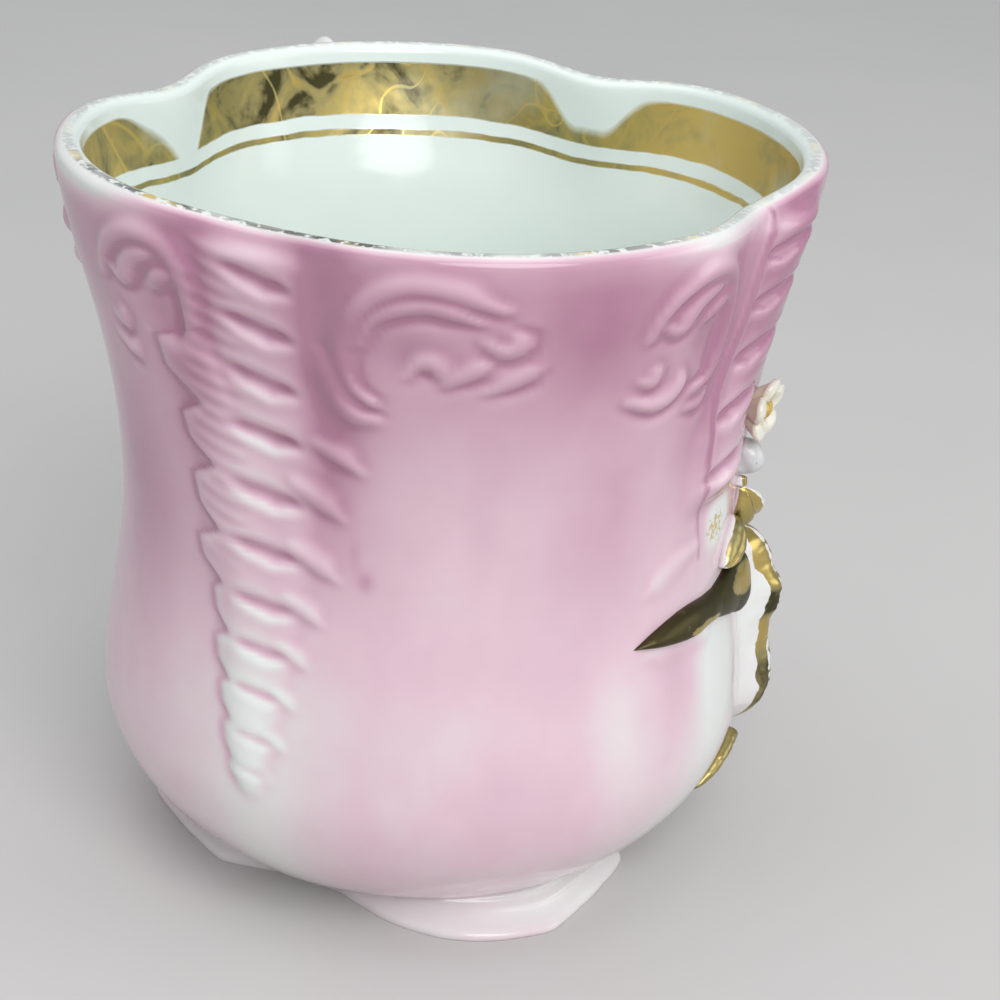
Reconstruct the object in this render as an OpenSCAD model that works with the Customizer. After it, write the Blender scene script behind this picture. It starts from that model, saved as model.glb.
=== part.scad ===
// Porcelain cup with four lobes, husk columns, scrolls and an applied gilt sprig.
// The cup stands on z = 0 about the z axis. Its sprig faces -Y and its handle +X.

/* [Cup] */
// Height of the cup at the lobes of its rim
cup_h = 86; // [78:1:98]
// Mean outside diameter at the rim
rim_d = 84; // [80:1:92]
// Outside diameter at the shoulder, under the flare of the rim
shoulder_d = 79; // [75:1:84]
// Outside diameter at the waist
waist_d = 72; // [68:1:78]
// Outside diameter at the fullest of the belly
belly_d = 76.4; // [72:0.2:84]
// Diameter of the flat underside that the foot is stuck to
base_d = 56.8; // [52:0.2:62]
// Height of the waist
waist_z = 44; // [38:1:50]
// Height of the fullest of the belly
belly_z = 20.5; // [16:0.5:26]
// Thickness of the wall
wall = 3; // [2:0.1:4]
// Thickness of the floor
floor_t = 4; // [3:0.5:6]
// Height of the round between the floor and the wall inside
heel_h = 7; // [4:0.5:10]

/* [Lobes] */
// How far the rim draws in at each column
notch_in = 3; // [1:0.25:4]
// How far the rim dips at each column
notch_dip = 1; // [0:0.25:2]
// How far the rim swells at the middle of each panel
lobe_out = 1.5; // [0:0.25:3]
// Half width of the valley at each column, in degrees
valley_w = 13; // [8:1:18]
// How far the valleys run down the outside
valley_l = 44; // [20:2:60]
// How far the ridges behind the valleys run down the inside
ridge_l = 20; // [10:1:30]

/* [Columns] */
// Height of the columns' relief
column_relief = 1.9; // [0.8:0.1:2.5]
// Width of the ribbed upper part of a column
column_w = 12; // [8:0.5:16]
// Width of the largest pair of husks
husk_w = 23; // [16:0.5:28]
// Width of the smallest pair of husks
husk_tip_w = 5.5; // [4:0.5:9]
// Height of the tips of the largest husks
husk_z = 62; // [56:1:66]
// Height where the long columns end
column_end = 19; // [14:1:30]
// Height where the short columns end, on both sides of the sprig
short_end = 50; // [46:1:54]
// Height of one rib
rib_pitch = 5.6; // [4:0.2:8]

/* [Scrolls] */
// Height of the scrolls' relief
scroll_relief = 1.1; // [0.5:0.1:1.6]
// Width of one scroll
scroll_w = 19.8; // [14:0.2:22]
// Height of one scroll
scroll_h = 17.2; // [12:0.2:19]
// Distance from a scroll's middle to the middle of its panel
scroll_off = 11.7; // [9:0.1:14]
// Distance from a scroll's middle up to the rim
scroll_drop = 12.5; // [11:0.5:16]
// Half width of a scroll's ridge
scroll_ridge = 2.2; // [1.4:0.1:2.6]

/* [Foot] */
// Height of the foot
foot_h = 4; // [3:0.5:7]
// Diameter of the circle round the foot's three lobes
foot_d = 64.8; // [58:0.2:70]
// How far the foot draws in between two lobes
foot_notch = 7.2; // [2:0.2:9]
// Half width of a lobe of the foot, on its left flank, in degrees
foot_lobe = 22; // [16:1:28]
// Where one lobe of the foot stands, in degrees from the sprig
foot_turn = -84; // [-90:1:-78]
// Width of the foot's ring
foot_ring = 6; // [4:0.5:8]

/* [Handle] */
// Height of the handle's upper seat
handle_top = 70; // [64:1:71]
// Height of the middle of the handle at its crown
handle_crown = 77.5; // [74:0.5:84]
// Height of the handle's lower seat
handle_low = 24; // [20:1:30]
// Reach of the handle's middle past the upper seat
handle_reach = 21; // [18:1:28]
// Width of the handle
handle_w = 9; // [7:0.5:12]
// Thickness of the handle
handle_t = 6.4; // [5:0.2:8]
// Height of the thumb rest on the handle
thumb_h = 3.8; // [2:0.2:5]
// Where the handle stands round the cup, in degrees from the sprig
handle_turn = 92.5; // [86:0.5:95]

/* [Sprig] */
// Height of the sprig, from its lowest twig to its top blossom
sprig_h = 50; // [44:1:54]
// Gap for the slip that holds each applied piece
lute_gap = 0.12; // [0.08:0.02:0.3]
// Width of the branch with its flanks
branch_w = 10.6; // [8:0.2:11]
// Height of the branch's crest
branch_h = 4; // [3:0.2:5]
// How far the branch's knot stands over its crest
knot_h = 1.8; // [0:0.2:2.4]
// Width of a twig at its thick end
twig_w = 5; // [3:0.2:6]
// Height of a twig at its thick end
twig_h = 3.2; // [2:0.2:4]
// Width of a leaf
leaf_w = 3.8; // [2:0.2:4]
// Height of a leaf's midrib
leaf_h = 1.6; // [1:0.1:2.4]
// How far the free edge of a turned leaf stands off the wall
leaf_lift = 2.2; // [0:0.2:3]
// Diameter of a blossom
blossom_d = 7.4; // [6:0.2:8]
// Height of a blossom's petals
blossom_h = 2; // [1.6:0.2:3]
// How much higher the free side of a turned blossom stands than its other side
blossom_lift = 1.2; // [0:0.2:3]
// Diameter of a blossom's pollen boss
pollen_d = 2.2; // [1.8:0.2:3]
// Length of a bud
bud_l = 4.2; // [3:0.2:4.6]
// Width of a bud
bud_w = 3.8; // [2.5:0.1:4.4]
// Height of a bud
bud_h = 2.8; // [1.5:0.1:3.5]
// Width of a stalk
stalk_w = 1.4; // [1:0.1:2]

/* [Hidden] */

// Slope of the belly's outline at the foot and of the flare at the shoulder and the rim
BASE_SLOPE = 1.25;
SHOULDER_SLOPE = 0.26;
RIM_SLOPE = 0.08;
// The shoulder's height below the rim
SHOULDER_DROP = 14;
shoulder_z = cup_h - SHOULDER_DROP;
floor_z = foot_h + floor_t;
// Width of the round between the floor and the wall inside
heel_w = heel_h * 1.3;
// Height of the lip's round edge
lip_h = wall / 3;

// Angles round the cup, in cells over a column and over a panel
COLUMN_SPAN = 40;
COLUMN_CELLS = 12;
PANEL_CELLS = 8;
FINE = 3;
PANEL_SPAN = 90 - COLUMN_SPAN;
QUARTERS = [0 : 3];
coarse_n = 4 * (COLUMN_CELLS + PANEL_CELLS);
fine_n = 4 * (COLUMN_CELLS + PANEL_CELLS * FINE);
coarse = ring_angles(PANEL_CELLS);
fine = ring_angles(PANEL_CELLS * FINE);

// Rows of points up the outside, over the lip and down the inside
ROW_H = 2.3;
SCROLL_ROWS = 12;
scroll_zone = cup_h - scroll_drop - scroll_h / 2 - ROW_H;
low_rows = ceil((scroll_zone - foot_h) / ROW_H);
INNER_ROWS = 6;
HEEL_ROWS = 3;

// Colours of the finishes
PINK = [0.86, 0.68, 0.77];
WHITE = [0.93, 0.92, 0.90];
GILT = [0.62, 0.50, 0.16];
POLLEN = [0.90, 0.78, 0.30];

// Places round the cup

// A point at an angle round the cup, at a radius and a height
function at(a, r, z) = [r * sin(a), -r * cos(a), z];

// The angle from the nearest of four places a quarter turn apart
function off(a, place) = a - place - 90 * floor((a - place) / 90 + 0.5);
function off_panel(a) = off(a, 0);
function off_column(a) = off(a, 45);

// Whether a column stands beside the sprig, and whether a place is on the sprig's own panel
function beside_sprig(a) = cos(a) > 0;
function on_sprig_panel(a) = cos(a) > cos(45);

function ring_angles(panel_cells) = [
    for (q = QUARTERS)
        let (start = 90 * q + 45 - COLUMN_SPAN / 2)
        each concat(
            [for (i = [0 : COLUMN_CELLS - 1]) start + i * COLUMN_SPAN / COLUMN_CELLS],
            [for (i = [0 : panel_cells - 1]) start + COLUMN_SPAN + i * PANEL_SPAN / panel_cells]
        )
];

// The fine ring's index at a coarse ring's index
function fine_index(i) =
    let (cells = COLUMN_CELLS + PANEL_CELLS, q = floor(i / cells), k = i - q * cells)
    q * (COLUMN_CELLS + PANEL_CELLS * FINE) + min(k, COLUMN_CELLS) + max(0, k - COLUMN_CELLS) * FINE;

// Curves

function clamp01(x) = min(1, max(0, x));
function smooth(x) = let (t = clamp01(x)) t * t * (3 - 2 * t);
function mix(a, b, t) = a + (b - a) * t;

// A cubic between two points [z, r], with a slope at each
function blend(z, p, p_slope, q, q_slope) =
    let (h = q[0] - p[0], t = (z - p[0]) / h, s = 1 - t)
    p[1] * s * s * (1 + 2 * t) + q[1] * t * t * (3 - 2 * t) + h * t * s * (p_slope * s - q_slope * t);

function bezier(p, t) =
    let (s = 1 - t)
    p[0] * s * s * s + p[1] * 3 * s * s * t + p[2] * 3 * s * t * t + p[3] * t * t * t;

// The cup's form

// The outline of the cup, before its lobes and relief
function outline(z) =
    let (
        base = [foot_h, base_d / 2],
        belly = [belly_z, belly_d / 2],
        waist = [waist_z, waist_d / 2],
        shoulder = [shoulder_z, shoulder_d / 2],
        rim = [cup_h, rim_d / 2]
    )
    z < belly_z ? blend(z, base, BASE_SLOPE, belly, 0) :
    z < waist_z ? blend(z, belly, 0, waist, 0) :
    z < shoulder_z ? blend(z, waist, 0, shoulder, SHOULDER_SLOPE) :
    blend(z, shoulder, SHOULDER_SLOPE, rim, RIM_SLOPE);

function valley(a) = exp(-pow(off_column(a) / valley_w, 2));
function swell(a) = (1 + cos(4 * a)) / 2;
function rim_z(a) = cup_h - notch_dip * valley(a);

// The lobes, full at the rim and gone a given length below it
function lobes(a, z, length) =
    smooth((z - cup_h + length) / length) * (lobe_out * swell(a) - notch_in * valley(a));

// How many ribs a height lies above the tips of the largest husks
HUSK_PITCH = 4.2;
HUSK_GROWTH = 0.07;
function rib_count(z) =
    let (low = HUSK_PITCH, high = HUSK_PITCH + HUSK_GROWTH * (husk_z - column_end))
    z > husk_z ? (z - husk_z) / rib_pitch :
    ln(max(1, low + HUSK_GROWTH * (z - column_end)) / high) / HUSK_GROWTH;

// The columns' relief: ribs that curl down to one side, then pairs of husks that taper down.
// Neighbouring columns mirror each other.
RIB_CURL = 0.025;
// Depth of a rib's groove, and how far a husk draws in under its tips, as shares
RIB_GROOVE = 0.45;
HUSK_CLEFT = 0.38;
// Distance of a column's top under the rim, and the heights over which its ends fade
COLUMN_DROP = 2;
TOP_FADE = 3;
END_FADE = 4;
function column(a, z) =
    let (
        hand = sin(2 * a) < 0 ? -1 : 1,
        u = hand * off_column(a) * PI / 180 * outline(z),
        end = beside_sprig(a) ? short_end : column_end,
        half = z > husk_z || beside_sprig(a) ? column_w / 2 :
            mix(husk_tip_w, husk_w, (z - column_end) / (husk_z - column_end)) / 2,
        curl = RIB_CURL * pow(u + column_w / 2, 2),
        count = rib_count(z + (z > husk_z ? curl : curl / 2)),
        part = count - floor(count),
        edge = z > husk_z || beside_sprig(a) ? 1 : 1 - HUSK_CLEFT * part,
        across = clamp01(abs(u) / (half * edge)),
        ends = smooth((rim_z(a) - COLUMN_DROP - z) / TOP_FADE) * smooth((z - end) / END_FADE)
    )
    column_relief * ends * (1 - across * across) * (1 - RIB_GROOVE * (1 - sin(180 * part)));

// A ridge along part of an ellipse, 1 at its crest, that fades over some degrees at each end
RIDGE_FADE = 18;
function ridge(u, v, rad, start, span, half) =
    let (
        p = u / rad[0],
        q = v / rad[1],
        rho = max(0.01, norm([p, q])),
        turn = atan2(q, p) - start,
        t = turn - 360 * floor(turn / 360),
        away = abs(rho - 1) * norm([rad[0] * p, rad[1] * q]) / rho / half
    )
    away < 1 && t < span ?
        pow(cos(90 * away), 2) * smooth(t / RIDGE_FADE) * smooth((span - t) / RIDGE_FADE) : 0;

// The scrolls' relief: a pair on each panel but the sprig's, each a large C with a second line inside it
C_START = 30;
C_SPAN = 208;
// The second line's size and height, as shares, and its start and its span
LINE_SHARE = 0.72;
LINE_HEIGHT = 0.6;
LINE_START = 45;
LINE_SPAN = 168;
function scrolls(a, z) = on_sprig_panel(a) ? 0 :
    let (
        u = scroll_off - abs(off_panel(a)) * PI / 180 * outline(z),
        v = z - cup_h + scroll_drop,
        rad = [scroll_w / 2, scroll_h / 2] - [scroll_ridge, scroll_ridge] / 2
    )
    scroll_relief * max(
        ridge(u, v, rad, C_START, C_SPAN, scroll_ridge),
        LINE_HEIGHT * ridge(u, v, rad * LINE_SHARE, LINE_START, LINE_SPAN, scroll_ridge * LINE_SHARE)
    );

// The cup's outside, with everything that is moulded on it
function body_r(a, z) = outline(z) + lobes(a, z, valley_l) + column(a, z) + scrolls(a, z);

// The cup's inside
function bore_r(a, z) =
    let (heel = clamp01(1 - (z - floor_z) / heel_h))
    outline(z) - wall + lobes(a, z, ridge_l) - heel_w * (1 - sqrt(1 - heel * heel));

// Closed surfaces over rings of points

// The faces between two rings of n points
function band(low, high, n) = [
    for (i = [0 : n - 1])
        let (j = (i + 1) % n)
        each [[low + i, high + i, high + j], [low + i, high + j, low + j]]
];

// The faces from a coarse ring up to a fine one
function band_to_fine(low, high) = [
    for (i = [0 : coarse_n - 1])
        let (first = fine_index(i), last = i + 1 < coarse_n ? fine_index(i + 1) : fine_n)
        each concat(
            [for (j = [first : last - 1]) [low + i, high + j, high + (j + 1) % fine_n]],
            [[low + i, high + last % fine_n, low + (i + 1) % coarse_n]]
        )
];

// The faces from a fine ring up to a coarse one
function band_to_coarse(low, high) = [
    for (i = [0 : coarse_n - 1])
        let (first = fine_index(i), last = i + 1 < coarse_n ? fine_index(i + 1) : fine_n)
        each concat(
            [for (j = [first : last - 1]) [low + j, high + i, low + (j + 1) % fine_n]],
            [[low + last % fine_n, high + i, high + (i + 1) % coarse_n]]
        )
];

// The faces from one point to the first ring, and from the last ring to one point
function cap_first(point, ring, n) = [for (i = [0 : n - 1]) [point, ring + i, ring + (i + 1) % n]];
function cap_last(point, ring, n) = [for (i = [0 : n - 1]) [point, ring + (i + 1) % n, ring + i]];

// A closed solid through rings of equal length, from a first point to a last one
module lofted(first, rings, last) {
    n = len(rings[0]);
    count = len(rings);
    end = n * count;
    points = concat([for (ring = rings) each ring], [first, last]);
    faces = concat(
        cap_first(end, 0, n),
        [for (k = [0 : count - 2]) each band(k * n, (k + 1) * n, n)],
        cap_last(end + 1, (count - 1) * n, n)
    );
    polyhedron(points, faces);
}

// The cup's body

module cup_body() {
    low_z = [for (k = [0 : low_rows]) mix(foot_h, scroll_zone, k / low_rows)];
    low = [for (z = low_z) [for (a = coarse) at(a, body_r(a, z), z)]];
    high = [
        for (k = [1 : SCROLL_ROWS])
            [
                for (a = fine)
                    let (z = mix(scroll_zone, rim_z(a) - lip_h, k / SCROLL_ROWS))
                    at(a, body_r(a, z), z)
            ]
    ];
    lip = [
        for (side = [[0.12, 0.3], [0.5, 0], [0.88, 0.3], [1, 1]])
            [
                for (a = coarse)
                    let (r = mix(body_r(a, rim_z(a)), bore_r(a, rim_z(a)), side[0]))
                    at(a, r, rim_z(a) - lip_h * side[1])
            ]
    ];
    inner = [
        for (k = [1 : INNER_ROWS])
            [
                for (a = coarse)
                    let (z = mix(rim_z(a) - lip_h, floor_z + heel_h, k / INNER_ROWS))
                    at(a, bore_r(a, z), z)
            ]
    ];
    heel = [
        for (k = [1 : HEEL_ROWS])
            let (z = floor_z + heel_h * (1 - sin(90 * k / HEEL_ROWS)))
            [for (a = coarse) at(a, bore_r(a, z), z)]
    ];
    inside = concat(lip, inner, heel);
    high_at = len(low) * coarse_n;
    inside_at = high_at + SCROLL_ROWS * fine_n;
    end = inside_at + len(inside) * coarse_n;
    points = concat(
        [for (ring = low) each ring],
        [for (ring = high) each ring],
        [for (ring = inside) each ring],
        [[0, 0, foot_h], [0, 0, floor_z]]
    );
    faces = concat(
        cap_first(end, 0, coarse_n),
        [for (k = [0 : low_rows - 1]) each band(k * coarse_n, (k + 1) * coarse_n, coarse_n)],
        band_to_fine(low_rows * coarse_n, high_at),
        [
            for (k = [0 : SCROLL_ROWS - 2])
                each band(high_at + k * fine_n, high_at + (k + 1) * fine_n, fine_n)
        ],
        band_to_coarse(high_at + (SCROLL_ROWS - 1) * fine_n, inside_at),
        [
            for (k = [0 : len(inside) - 2])
                each band(inside_at + k * coarse_n, inside_at + (k + 1) * coarse_n, coarse_n)
        ],
        cap_last(end + 1, end - coarse_n, coarse_n)
    );
    color(PINK) polyhedron(points, faces);
}

// The foot: a three-lobed ring that flares out from under the belly

FOOT_ANGLES = [0 : 6 : 354];
// How far the foot's neck stands in from the edge of the cup's flat underside
FOOT_NECK = 0.8;
// How much longer a lobe's right flank is than its left one, seen from outside
FOOT_SKEW = 1.4;
function foot_cusp(a) =
    let (
        turn = a - foot_turn,
        from_lobe = turn - 120 * floor(turn / 120 + 0.5),
        flank = from_lobe > 0 ? FOOT_SKEW * foot_lobe : foot_lobe
    )
    1 - exp(-pow(from_lobe / flank, 2));
function foot_edge(a) = foot_d / 2 - foot_notch * foot_cusp(a);
function foot_neck(a) = base_d / 2 - FOOT_NECK - foot_notch / 2 * foot_cusp(a);
function foot_row(share, height, inset) = [
    for (a = FOOT_ANGLES) at(a, mix(foot_neck(a), foot_edge(a), share) - inset, foot_h * height)
];

module foot_ring() {
    // Each row is a share from the neck out to the edge and a share of the foot's height
    outside = [[1, -0.25], [1, 0.12], [0.86, 0.34], [0.3, 0.62], [0, 1]];
    inside = [[0, 1], [1, -0.25]];
    rows = concat(
        [for (p = outside) foot_row(p[0], p[1], 0)],
        [for (p = inside) foot_row(p[0], p[1], foot_ring)]
    );
    n = len(rows[0]);
    count = len(rows);
    faces = [for (k = [0 : count - 1]) each band(k * n, (k + 1) % count * n, n)];
    color(WHITE) difference() {
        polyhedron([for (row = rows) each row], faces);
        translate([-foot_d, -foot_d, -foot_h]) cube([2 * foot_d, 2 * foot_d, foot_h]);
    }
}

// The handle: an ear with a thumb rest, stuck to the wall at both ends

HANDLE_SIDES = 12;
HANDLE_RINGS = 26;
// How much wider the handle is where it sits on the wall, and how much thinner at its lower end
SEAT_FLARE = 1.35;
LOW_END = 0.82;
// The crown's place, and the thumb rest's half length, as shares of the handle's path
CROWN_AT = 0.25;
THUMB_SPAN = 0.09;
// Shares of the path over which the handle stands clear of the wall
HANDLE_CLEAR = [0.045, 0.97];
// Share of the path, at each end, over which the section turns square to the wall
SEAT_LENGTH = 0.16;
// How far the handle's lower end comes up to its seat from below
HANDLE_SAG = 2;

// A point on the wall by the handle, a distance across and up from a seat
function on_wall(y, z) =
    let (r = body_r(handle_turn, z), a = handle_turn + asin(y / r))
    at(a, body_r(a, z) + lute_gap, z);

// The handle's middle line: out from the upper seat to the crown, then round to the lower seat
function handle_at(t) =
    let (
        top = [body_r(handle_turn, handle_top), handle_top],
        low = [body_r(handle_turn, handle_low), handle_low],
        crown = [top[0] + handle_reach * 0.55, handle_crown],
        rise = crown - top,
        far = top[0] + handle_reach * 1.35
    )
    t < CROWN_AT ?
        bezier([top, top + [rise[0] / 2, rise[1] / 5], crown - [rise[0] / 2, 0], crown], t / CROWN_AT) :
        bezier(
            [crown, [far, crown[1]], [far - handle_reach / 4, low[1] - HANDLE_SAG], low],
            (t - CROWN_AT) / (1 - CROWN_AT)
        );

// A ring of the handle's section at a place along its path, with the thumb rest on its outer side
function handle_ring(t) =
    let (
        p = handle_at(t),
        ahead = handle_at(t + 0.01) - p,
        square = smooth(1 - min(t, 1 - t) / SEAT_LENGTH),
        turned = mix(ahead / norm(ahead), [t < 0.5 ? 1 : -1, 0], square),
        way = turned / norm(turned),
        out = [-way[1], way[0]],
        taper = mix(1, LOW_END, t) * (1 + (SEAT_FLARE - 1) * exp(-pow(min(t, 1 - t) / 0.06, 2))),
        thumb = thumb_h * exp(-pow((t - CROWN_AT) / THUMB_SPAN, 2))
    )
    [
        for (i = [0 : HANDLE_SIDES - 1])
            let (
                s = -360 * i / HANDLE_SIDES,
                rise = handle_t / 2 * taper * cos(s) + thumb * pow(max(0, cos(s)), 2),
                q = p + out * rise
            )
            rotate_about(handle_turn, q[0], handle_w / 2 * taper * sin(s), q[1])
    ];

// A point by its distance out along the handle's plane, across it and up
function rotate_about(a, x, y, z) = [x * sin(a) + y * cos(a), -x * cos(a) + y * sin(a), z];

// A ring of a seat on the wall, at a share of its full size
function seat_ring(z, taper, share) = [
    for (i = [0 : HANDLE_SIDES - 1])
        let (s = -360 * i / HANDLE_SIDES)
        on_wall(
            share * SEAT_FLARE * handle_w / 2 * taper * sin(s),
            z + (z > waist_z ? 1 : -1) * share * SEAT_FLARE * handle_t / 2 * taper * cos(s)
        )
];

module handle() {
    rings = concat(
        [for (share = [0.4, 0.75, 1]) seat_ring(handle_top, 1, share)],
        [
            for (k = [0 : HANDLE_RINGS])
                handle_ring(mix(HANDLE_CLEAR[0], HANDLE_CLEAR[1], k / HANDLE_RINGS))
        ],
        [for (share = [1, 0.75, 0.4]) seat_ring(handle_low, LOW_END, share)]
    );
    color(WHITE) lofted(on_wall(0, handle_top), rings, on_wall(0, handle_low));
}

// The applied sprig. Its places are across and up from a point on its panel, along the wall

// How far the sprig's middle lies under the waist
SPRIG_DROP = 4;
sprig_z = waist_z - SPRIG_DROP;
sprig_r = waist_d / 2;

// A place on the sprig, in hundredths of its height
function spot(x, y) = [x, y] * sprig_h / 100;

// A point over the wall by the sprig
function over_wall(p, h) =
    let (a = p[0] / sprig_r * 180 / PI, z = sprig_z + p[1])
    at(a, body_r(a, z) + lute_gap + h, z);

// A strip of clay along a path on the wall, with a flat back
BACK_CELLS = 4;
module strip(path, width, height, form, stations, lift = 0, sides = 6) {
    rings = [
        for (k = [0 : stations])
            let (
                t = k / stations,
                p = bezier(path, t),
                ahead = bezier(path, min(1, t + 0.01)) - bezier(path, max(0, t - 0.01)),
                w = [-ahead[1], ahead[0]] / norm(ahead) * width / 2 * strip_size(form, t),
                h = height * (form == "branch" ? 1 : max(LOWEST, strip_size(form, t)))
                    + (form == "branch" ? knot_h * exp(-pow((t - KNOT_AT) / KNOT_SPAN, 2)) : 0)
            )
            concat(
                [
                    for (i = [0 : sides])
                        let (x = cos(180 * i / sides))
                        over_wall(p + w * x, h * strip_section(form, x) + lift * (1 - x) / 2)
                ],
                [for (i = [1 : BACK_CELLS - 1]) over_wall(p - w * (1 - 2 * i / BACK_CELLS), 0)]
            )
    ];
    lofted(middle(rings[0]), rings, middle(rings[stations]));
}

// A strip's width along its path, as a share: a branch is full between its ends, a twig narrows behind
// its thick end and runs to a point, a leaf is widest before its middle, and a stalk is even
BRANCH_END = 0.6;
BRANCH_ROUND = 0.2;
TWIG_NECK = 0.5;
NECK_AT = 0.4;
TWIG_POINT = 0.28;
TIP = 0.1;
LEAF_BULGE = 0.8;
function strip_size(form, t) =
    form == "branch" ? mix(BRANCH_END, 1, smooth(min(t, 1 - t) / BRANCH_ROUND)) :
    form == "twig" ? mix(1, TWIG_NECK, smooth(t / NECK_AT)) * clamp01(TIP + (1 - t) / TWIG_POINT) :
    form == "leaf" ? max(TIP, pow(sin(180 * pow(t, LEAF_BULGE)), LEAF_BULGE)) : 1;

// The least height of a strip, as a share, and the place and the half length of the branch's knot
LOWEST = 0.3;
KNOT_AT = 0.34;
KNOT_SPAN = 0.13;

// A strip's section: a branch has hollow flanks, a leaf a thin edge and a raised midrib, others are round
LEAF_EDGE = 0.35;
function strip_section(form, x) =
    form == "branch" ? pow(cos(90 * x), 2) :
    form == "leaf" ? (abs(x) > 0.99 ? 0 : mix(LEAF_EDGE, 1, pow(1 - abs(x), 1.5))) :
    sqrt(max(0, 1 - x * x));

function middle(ring) = [for (k = [0 : 2]) sum([for (p = ring) p[k]]) / len(ring)];
function sum(list, i = 0) = i < len(list) ? list[i] + sum(list, i + 1) : 0;

// A boss of clay on the wall or on another piece, round or with petals. Its rows, from the edge in,
// are each a share of its size and a height. A boss with a lift rises from its left side to its right.
module boss(centre, size, turn, petals, sides, rows, top, stem = 1, base = 0, lift = 0) {
    raised = function (x, h) base + h > 0 ? base + h + lift * (x / blossom_d + 0.5) : 0;
    ring = function (share, h)
        [
            for (i = [0 : sides - 1])
                let (
                    s = 360 * i / sides,
                    lobe = petals > 0 ? mix(PETAL_CLEFT, 1, abs(cos(petals * s / 2))) : 1,
                    q = [size[0] * cos(s), size[1] * sin(s)] / 2 * share * lobe,
                    p = [q[0] * cos(turn) - q[1] * sin(turn), q[0] * sin(turn) + q[1] * cos(turn)]
                )
                over_wall(centre + p, raised(p[0], h))
        ];
    rings = concat([ring(stem / 2, 0), ring(stem, 0)], [for (row = rows) ring(row[0], row[1])]);
    lofted(over_wall(centre, raised(0, 0)), rings, over_wall(centre, raised(0, top)));
}

// A blossom's petals, round a flat dish that holds the pollen boss
PETAL_CLEFT = 0.8;
BLOSSOM_STEM = 0.75;
dish_h = blossom_h * 0.5;
dish = (pollen_d / 2 + 2 * lute_gap) / (PETAL_CLEFT * blossom_d / 2);
PETAL_CREST = 0.85;
petal_rows = [
    [1, blossom_h * 0.7],
    [PETAL_CREST, blossom_h],
    [mix(dish, PETAL_CREST, 0.4), blossom_h * 0.85],
    [dish, dish_h]
];
function dome_rows(h) = [for (x = [1, 0.75, 0.4]) [x, h * mix(1, 0.35, x * x)]];

module blossom(centre, turn, lift) {
    color(WHITE)
        boss(centre, [blossom_d, blossom_d], turn, 5, 20, petal_rows, dish_h, BLOSSOM_STEM, lift = lift);
}

module pollen(centre, lift) {
    h = pollen_d / 2;
    color(POLLEN)
        boss(centre, [pollen_d, pollen_d], 0, 0, 10, dome_rows(h), h, base = dish_h + lute_gap, lift = lift);
}

module bud(centre, turn) {
    color(WHITE) boss(centre, [bud_l, bud_w], turn, 0, 12, dome_rows(bud_h), bud_h);
}

module leaf(from, to, bend, lift = 0) {
    step = to - from;
    side = [-step[1], step[0]] * bend;
    path = [from, from + step / 3 + side, from + step * 2 / 3 + side, to];
    color(GILT) strip(path, leaf_w, leaf_h, "leaf", 6, lift);
}

// A short stalk from one place to another
module stalk(from, to) {
    path = [from, mix(from, to, 1 / 3), mix(from, to, 2 / 3), to];
    color(GILT) strip(path, stalk_w, stalk_w * 0.8, "stalk", 3);
}

module main_branch() {
    path = [spot(-22.4, 1.2), spot(-20, -14), spot(-20.4, -32), spot(-22.8, -48)];
    color(GILT) strip(path, branch_w, branch_h, "branch", 14, sides = 10);
}

module left_twig() {
    path = [spot(-36.4, -5.2), spot(-52, -5.2), spot(-68, -2.8), spot(-84.2, -6)];
    color(GILT) strip(path, twig_w * 1.3, twig_h, "twig", 12);
}

module right_twig() {
    path = [spot(-7.6, -22), spot(4, -26), spot(16, -18), spot(34, -20)];
    color(GILT) strip(path, twig_w * 0.9, twig_h, "twig", 10);
}

module lower_twig() {
    path = [spot(-28.8, -52.8), spot(-34, -54), spot(-39, -56.8), spot(-44.4, -59.6)];
    color(GILT) strip(path, twig_w * 0.64, twig_h * 0.7, "twig", 8);
}

// Middles of the blossoms
upper_spot = spot(-36.6, 36.6);
middle_spot = spot(-3, 22);
right_spot = spot(14, 4);

module upper_blossom() { blossom(upper_spot, 18, blossom_lift); }
module upper_pollen() { pollen(upper_spot, blossom_lift); }
module middle_blossom() { blossom(middle_spot, 50, 0); }
module middle_pollen() { pollen(middle_spot, 0); }
module right_blossom() { blossom(right_spot, 5, 0); }
module right_pollen() { pollen(right_spot, 0); }
module upper_leaf() { leaf(spot(-29.6, 6), spot(-36.8, 16.4), 0.08, leaf_lift); }
module hanging_leaf() { leaf(spot(-38.4, 9.6), spot(-49.2, 2.4), -0.1); }
module inner_leaf() { leaf(spot(-8.8, -9.2), spot(4, 2), 0.1); }
module right_leaf() { leaf(spot(20.8, -16.4), spot(32.6, -4), 0.1); }
module low_leaf() { leaf(spot(4, -27.4), spot(17, -38.8), -0.1); }
module upper_bud() { bud(spot(-36.2, 24.6), 80); }
module right_bud() { bud(spot(20.4, 22), 65); }
module tip_bud() { bud(spot(40, -18.8), 20); }
module upper_stalk() { stalk(spot(-37, 17.4), spot(-36.6, 19.8)); }
module middle_stalk() { stalk(spot(-16.4, 5.4), spot(-8.8, 15.2)); }
module right_stalk() { stalk(spot(10.6, -18.4), spot(13.2, -4.8)); }
module bud_stalk() { stalk(spot(16.6, 12.4), spot(18, 16.8)); }

cup_body();
foot_ring();
handle();
main_branch();
left_twig();
right_twig();
lower_twig();
upper_leaf();
hanging_leaf();
inner_leaf();
right_leaf();
low_leaf();
upper_blossom();
upper_pollen();
middle_blossom();
middle_pollen();
right_blossom();
right_pollen();
upper_bud();
right_bud();
tip_bud();
upper_stalk();
middle_stalk();
right_stalk();
bud_stalk();
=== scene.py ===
"""Porcelain cup: pink glaze, moulded columns and scrolls, gilded rim, applied sprig of blossom."""
import math
from functools import reduce

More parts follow.
